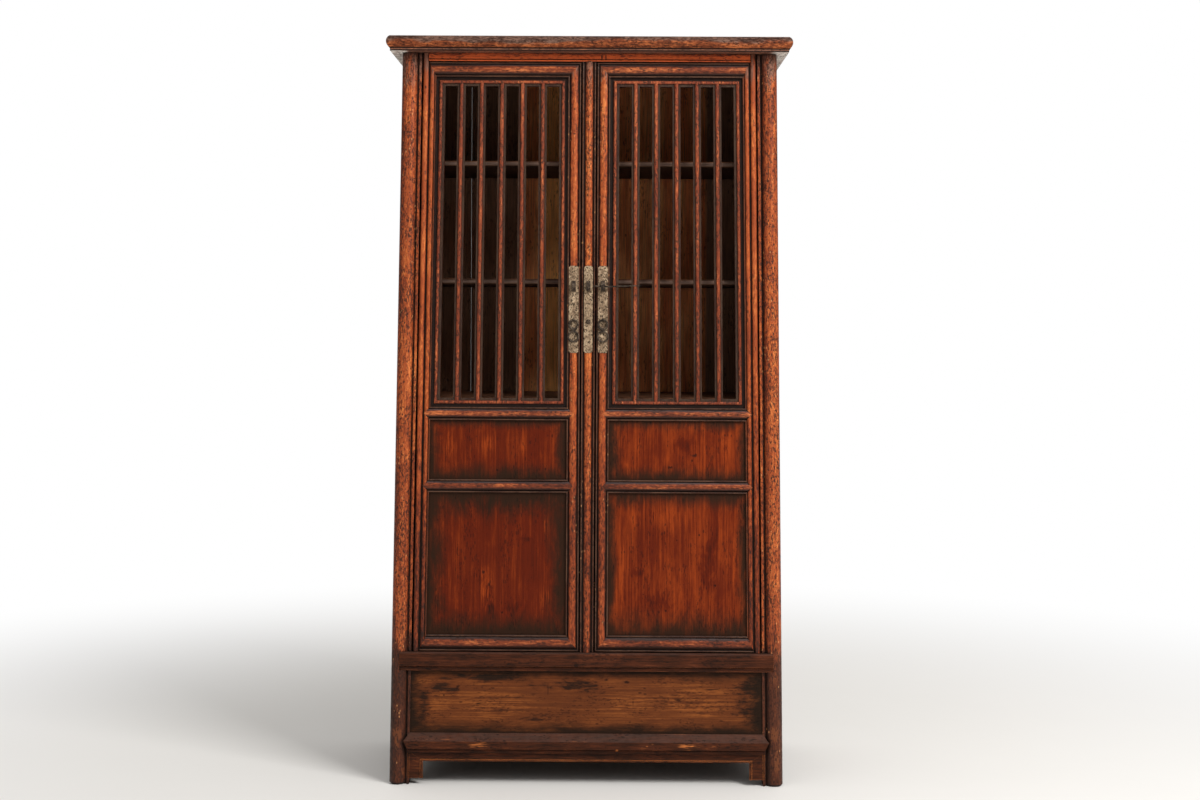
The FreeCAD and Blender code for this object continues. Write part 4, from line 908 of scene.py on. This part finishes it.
def lock_pin_surface(wire):
    """Lock pin: a bent rod, a knot of three turns near its middle and a thin tail.

    Centre line: straight to the knot with a slight sag, then rising and falling by a sine.
    """
    low, high = node_box("lock_pin")
    centre = (low + high) / 2
    share = np.linspace(0, 1, 72)
    across = low[0] + (high[0] - low[0]) * share
    knot, sag_depth, tail_rise, knot_pitch = 0.5, 0.0011, 0.0022, 0.0016
    tail = np.clip((share - knot) / (1 - knot), 0, 1)
    sag = -sag_depth * np.sin(np.pi * np.clip(share / knot, 0, 1)) * (share > 0.2)
    rise = tail_rise * np.sin(2.6 * tail) * tail
    path = np.stack([across, centre[1] + 0 * share - 0.0004 * tail, centre[2] + sag + rise], 1)
    radii = wire * (1 - 0.43 * tail)
    radii = radii * np.clip(share / 0.04, 0.35, 1) * np.clip((1 - share) / 0.02, 0.05, 1)
    surfaces = [tube(path, radii)]
    turn = circle(26)
    for place in (-1, 0, 1):
        knot_middle = low[0] + (high[0] - low[0]) * knot + place * knot_pitch
        ring = np.stack([0.0003 * np.sin(turn), wire * np.cos(turn), wire * np.sin(turn)], 1)
        ring = ring + (knot_middle, centre[1], centre[2])
        surfaces.append(tube(ring, np.full(len(turn), BINDING_WIRE), 10, True))
    return joined(surfaces)


def colour_setting(name, description, colour):
    """Setting for a colour out of 255."""
    default = [part / 255 for part in colour]
    return bpy.props.FloatVectorProperty(
        name=name, description=description, default=default, subtype="COLOR_GAMMA"
    )


def number_setting(name, description, default, unit="LENGTH"):
    """Setting for a number."""
    return bpy.props.FloatProperty(name=name, description=description, default=default, unit=unit)


class CabinetLookSettings(bpy.types.PropertyGroup):
    """Colours, and the wires of the new pieces."""

    worn_bright: colour_setting("Worn wood", "Wood that hands have rubbed bright", WORN_BRIGHT)
    worn_middle: colour_setting("Thin lacquer", "Lacquer worn thin on the crests", WORN_MID)
    lacquer: colour_setting("Lacquer", "Lacquer of the posts and doors", LACQUER)
    panel_bright: colour_setting(
        "Door panel, bright", "Bright parts of the door panels", PANEL_BRIGHT
    )
    panel_red: colour_setting("Door panel", "Main red of the door panels", PANEL_RED)
    chest_bright: colour_setting(
        "Chest panel, bright", "Bright grain of the chest panel", CHEST_BRIGHT
    )
    chest_brown: colour_setting("Chest panel", "Main brown of the chest panel", CHEST_BROWN)
    iron_light: colour_setting("Iron, rubbed", "High spots of the iron plates", IRON_LIGHT)
    iron_middle: colour_setting("Iron", "Main tone of the iron plates", IRON_MID)
    floor: colour_setting("Floor", "Pale floor under the cabinet", FLOOR)
    upper_wire: number_setting(
        "Upper ring wire", "Radius of the wire of the upper ring of a pull", 0.0023
    )
    lower_wire: number_setting(
        "Lower ring wire", "Radius of the wire of the lower ring of a pull", 0.0023
    )
    pin_wire: number_setting("Pin wire", "Radius of the rod of the lock pin", 0.0021)


class CabinetStageSettings(bpy.types.PropertyGroup):
    """Camera and light."""

    camera_distance: number_setting(
        "Camera distance", "From the camera to the front of the posts", 4.482
    )
    camera_height: number_setting("Camera height", "Height of the camera", 1.165)
    camera_side: number_setting(
        "Camera side", "How far the camera stands to the right of the middle", 0.05
    )
    turn: number_setting("Turn", "Turn of the camera to the left", math.radians(0.261), "ROTATION")
    lens: number_setting("Lens", "Focal length in millimetres", 53.88, "CAMERA")
    roll: number_setting(
        "Roll", "Turn of the camera about its view", math.radians(-0.292), "ROTATION"
    )
    key_power: number_setting(
        "Key lamp", "Power of the large lamp at the front right", 225.0, "POWER"
    )
    fill_power: number_setting(
        "Fill lamp", "Power of the large lamp at the front left", 10.0, "POWER"
    )
    sky_strength: number_setting("Sky", "Strength of the light from straight above", 0.8, "NONE")
    horizon_strength: number_setting(
        "Horizon", "Strength of the even light from all sides", 0.11, "NONE"
    )


class CABINET_OT_posts(bpy.types.Operator):
    """Finish the posts, the middle post and the rails of the front"""

    bl_idname = "cabinet.posts"
    bl_label = "Posts and rails"

    def execute(self, context):
        look = context.scene.cabinet_look
        bright, middle, lacquer = shades(look.worn_bright, look.worn_middle, look.lacquer)
        palette = (bright, middle, lacquer, LACQUER_DARK)
        posts = ["front_left_post", "front_right_post", "back_left_post", "back_right_post"]
        finish = worn_wood(
            "post_lacquer", "z", palette, wear=0.56, fleck_amount=1.3, bright_spots=POST_SPOTS,
            spot_lift=0.8, lamp_side_light=0.24, ends=POST_ENDS, chips=0.5, grime_and_shade=0.62,
        )
        dress(posts, finish)
        finish = worn_wood(
            "middle_post_lacquer", "z", palette, wear=0.74, fleck_amount=1.3,
            fillet_depth=FILLET_DEPTH, bead=MIDDLE_BEAD, lower=0.34, chips=0.4, ends=DOOR_ENDS,
        )
        dress(["centre_post"], finish)
        head = (HEAD_BRIGHT, HEAD_BRIGHT, HEAD_RED, LACQUER_DARK)
        finish = worn_wood("head_rail_lacquer", "x", head, 0.62, 0.2, marks=HEAD_SEAM)
        dress(["head_rail"], finish)
        dress(["sill_rail"], dark_rail("sill_wood", "x", RAIL, facing_tone=0.55, edge_wear=0.9))
        worn_rail = (bright, RAIL_BROWN, RAIL_DARK)
        finish = dark_rail("foot_rail_wood", "x", worn_rail, 0.75, 0.25, FOOT_RAIL_SPOTS)
        dress(["foot_rail"], finish)
        dress(["front_apron"], dark_rail("apron_wood", "x", worn_rail, edge_wear=1.0))
        return {"FINISHED"}


class CABINET_OT_doors(bpy.types.Operator):
    """Finish the frames, bars and panels of the doors"""

    bl_idname = "cabinet.doors"
    bl_label = "Doors"

    def execute(self, context):
        look = context.scene.cabinet_look
        bright, middle, lacquer = shades(look.worn_bright, look.worn_middle, look.lacquer)
        palette = (bright, middle, lacquer, LACQUER_DARK)
        dull = (DULL_BRIGHT, DULL_MID, DULL_RED, LACQUER_DARK)
        red_wood = (RED_BRIGHT, RED_MID, lacquer, LACQUER_DARK)
        bead = {"fillet_depth": FILLET_DEPTH, "bead": UPRIGHT_BEAD, "lower": 0.28}
        upright = worn_wood(
            "stile_lacquer", "z", palette, wear=0.68, fleck_amount=0.9, marks=STILE_HOLES,
            chips=0.4, ends=DOOR_ENDS, **bead,
        )
        pivot = worn_wood(
            "hinge_stile_lacquer", "z", palette, wear=0.6, fleck_amount=0.35, fillet=FILLET_RED,
            bright_spots=HINGE_TAN, spot_lift=0.22, ends=DOOR_ENDS, **bead,
        )
        level = worn_wood(
            "door_rail_lacquer", "x", dull, wear=0.72, fleck_amount=0.7,
            fillet_depth=FILLET_DEPTH, bead=LEVEL_BEAD, facing_tone=0.85, lower=0.16,
        )
        bars = worn_wood(
            "lattice_lacquer", "z", red_wood, wear=0.68, fleck_amount=1.2,
            fillet_depth=BAR_FILLET_DEPTH, bead=BAR_BEAD, fillet=FILLET_GREY,
        )
        dress(both_doors("meeting_stile"), upright)
        dress(both_doors("hinge_stile"), pivot)
        dress(both_doors("top_rail", "bottom_rail", "mid_rails"), level)
        dress(both_doors("lattice"), bars)
        red = (*shades(look.panel_bright, look.panel_red), PANEL_DARK, PANEL_EDGE_DIRT_SHADE)
        for name, places in DOOR_PANELS.items():
            finish = panel_wood(name + "_lacquer", name, "z", red, 0.32, 0.25, **places)
            dress([name], finish)
        return {"FINISHED"}


class CABINET_OT_chest(bpy.types.Operator):
    """Finish the chest panels, the sides, the back and the inside"""

    bl_idname = "cabinet.chest"
    bl_label = "Chest, sides and inside"

    def execute(self, context):
        look = context.scene.cabinet_look
        brown = (*shades(look.chest_bright, look.chest_brown), CHEST_DARK, CHEST_EDGE_DIRT_SHADE)
        node = "chest_front_panel"
        finish = panel_wood("chest_panel_wood", node, "x", brown, 0.55, 0.7, **CHEST_PANEL)
        dress([node], finish)
        dress(["left_side_panel", "right_side_panel"], board_wood("side_wood", "z"))
        dress(["chest_wall_panels"], board_wood("chest_wall_wood", "z"))
        names = ["side_and_back_head_rails", "side_sill_rails", "side_foot_rails", "back_rails"]
        dress(names, dark_rail("side_rail_wood", "y", RAIL, facing_tone=0.4))
        dress(["side_and_back_aprons"], dark_rail("side_apron_wood", "y", RAIL, facing_tone=0.4))
        dress(["back_boards"], board_wood("back_wood", "z", BACK_LIT))
        shelves = ["top_shelf", "middle_shelf", "bottom_shelf", "floor_board", "chest_bottom_board"]
        dress(shelves, shelf_wood("shelf_wood", "x"))
        dress(["shelf_bearers", "top_battens"], shelf_wood("bearer_wood", "y"))
        return {"FINISHED"}


class CABINET_OT_top(bpy.types.Operator):
    """Finish the top frame and its panel"""

    bl_idname = "cabinet.top"
    bl_label = "Top"

    def execute(self, context):
        dress(["top_frame_front", "top_frame_back", "top_panel"], top_wood("top_wood_long", "x"))
        dress(["top_frame_ends"], top_wood("top_wood_ends", "y"))
        return {"FINISHED"}


class CABINET_OT_iron(bpy.types.Operator):
    """Finish the iron plates and staples, and make the pulls and the lock pin"""

    bl_idname = "cabinet.iron"
    bl_label = "Ironwork"

    def execute(self, context):
        look = context.scene.cabinet_look
        light, middle = shades(look.iron_light, look.iron_middle)
        pale = old_iron("plate_iron", (IRON_PALE, middle, IRON_DARK), 0.6)
        dark = old_iron("door_plate_iron", (light, middle, IRON_DARK), 0.85)
        wrought = old_iron("wrought_iron", (WROUGHT_LIGHT, WROUGHT_MID, WROUGHT_DARK), 0.5)
        dress(["centre_lock_plate"], pale)
        dress(both_doors("lock_plate"), dark)
        dress(both_doors("staple", "pull_eye"), wrought)
        dress(["centre_staple", "centre_nail"], wrought)
        for side, wobble in (("left", 0.4), ("right", 2.1)):
            node = side + "_door_pull"
            surface = figure_eight(node, look.upper_wire, look.lower_wire, wobble)
            mesh_piece(side + "_pull_rings", surface, wrought, side + "_pull", node)
        surface = lock_pin_surface(look.pin_wire)
        mesh_piece("knotted_pin", surface, wrought, "lock_pin", "lock_pin")
        return {"FINISHED"}


class CABINET_OT_stage(bpy.types.Operator):
    """Set the floor, the lamps, the sky and the camera"""

    bl_idname = "cabinet.stage"
    bl_label = "Floor, light and camera"

    def execute(self, context):
        settings = context.scene.cabinet_stage
        scene = context.scene
        scene.view_settings.view_transform = "Standard"

        signs = np.array([(-1, -1, 0), (1, -1, 0), (1, 1, 0), (-1, 1, 0)])
        corners = (signs * FLOOR_REACH).tolist()
        mesh = bpy.data.meshes.new("floor")
        mesh.from_pydata(corners, [], [[0, 1, 2, 3]])
        floor = add_object("floor", mesh)
        finish = Finish("floor_finish")
        mottled = finish.noise((3, 3, 3), 4.0, 0.6)
        pale = np.array(linear(shades(context.scene.cabinet_look.floor)[0]))
        dimmer = pale * (0.94, 0.94, 0.94, 1)
        finish.colour = finish.mixed(mottled * 0.4, pale.tolist(), dimmer.tolist())
        real = finish.surface(mottled * 0.1 + 0.8, mottled, 0.0002, gloss=0.2)
        white = finish.node("ShaderNodeEmission", {}, {"Color": (1, 1, 1, 1), "Strength": 1.0})
        away = finish.vector("LENGTH", finish.place, (0, 0, 0), 1).between(*FLOOR_FADE)
        seen = finish.node("ShaderNodeLightPath", {}, {}, "Is Camera Ray")
        finish.output(finish.node("ShaderNodeMixShader", {}, (away * seen, real, white)))
        mesh.materials.append(finish.material)

        world = bpy.data.worlds.new("sky")
        scene.world = world
        world.use_nodes = True
        sky = Tree(world.node_tree)
        seen = sky.node("ShaderNodeLightPath", {}, {}, "Is Camera Ray")
        ahead = sky.node("ShaderNodeTexCoord", {}, {}, "Generated")
        upward = sky.node("ShaderNodeSeparateXYZ", {}, (ahead,), 2)
        above = upward.between(0.0, 1.0) * settings.sky_strength + settings.horizon_strength
        strength = sky.node("ShaderNodeMix", {}, {0: seen, 2: above, 3: 1.0})
        inputs = {"Color": (1.0, 1.0, 1.0, 1.0), "Strength": strength}
        light = sky.node("ShaderNodeBackground", {}, inputs)
        sky.node("ShaderNodeOutputWorld", {}, {"Surface": light})

        # Each lamp's name, place, what it points at, size and power
        lamps = (
            ("key_lamp", (2.7, -3.1, 4.1), (0.0, 0.0, 0.95), 2.0, settings.key_power),
            ("fill_lamp", (-3.0, -3.6, 2.2), (0.0, 0.0, 0.9), 2.6, settings.fill_power),
        )
        for name, place, target, size, power in lamps:
            lamp = bpy.data.lights.new(name, "AREA")
            lamp.shape = "SQUARE"
            lamp.size = size
            lamp.energy = power
            holder = add_object(name, lamp)
            holder.location = place
            aim = np.array(target) - np.array(place)
            fall = math.atan2(math.hypot(aim[0], aim[1]), -aim[2])
            holder.rotation_euler = (fall, 0, math.atan2(aim[1], aim[0]) - math.pi / 2)

        view = bpy.data.cameras.new("camera")
        view.lens = settings.lens
        view.sensor_width = 36.0
        view.shift_y = CAMERA_SHIFT
        camera = add_object("camera", view)
        ahead = FRONT - settings.camera_distance
        camera.location = (settings.camera_side, ahead, settings.camera_height)
        camera.rotation_euler = (math.pi / 2, settings.roll, settings.turn)
        scene.camera = camera
        return {"FINISHED"}


OPERATORS = (
    CABINET_OT_posts,
    CABINET_OT_doors,
    CABINET_OT_chest,
    CABINET_OT_top,
    CABINET_OT_iron,
    CABINET_OT_stage,
)


class CABINET_PT_panel(bpy.types.Panel):
    """Buttons for each group of the cabinet"""

    bl_idname = "CABINET_PT_panel"
    bl_label = "Barred book cabinet"
    bl_space_type = "VIEW_3D"
    bl_region_type = "UI"
    bl_category = "Cabinet"

    def draw(self, context):
        for operator in OPERATORS:
            self.layout.operator(operator.bl_idname)
        for settings in (context.scene.cabinet_look, context.scene.cabinet_stage):
            for key in settings.__annotations__:
                self.layout.prop(settings, key)


CLASSES = (CabinetLookSettings, CabinetStageSettings, *OPERATORS, CABINET_PT_panel)


def register():
    for item in CLASSES:
        bpy.utils.register_class(item)
    bpy.types.Scene.cabinet_look = bpy.props.PointerProperty(type=CabinetLookSettings)
    bpy.types.Scene.cabinet_stage = bpy.props.PointerProperty(type=CabinetStageSettings)


def unregister():
    del bpy.types.Scene.cabinet_stage
    del bpy.types.Scene.cabinet_look
    for item in reversed(CLASSES):
        bpy.utils.unregister_class(item)


def main():
    register()
    for operator in OPERATORS:
        group, name = operator.bl_idname.split(".")
        getattr(getattr(bpy.ops, group), name)()


if __name__ == "__main__":
    main()
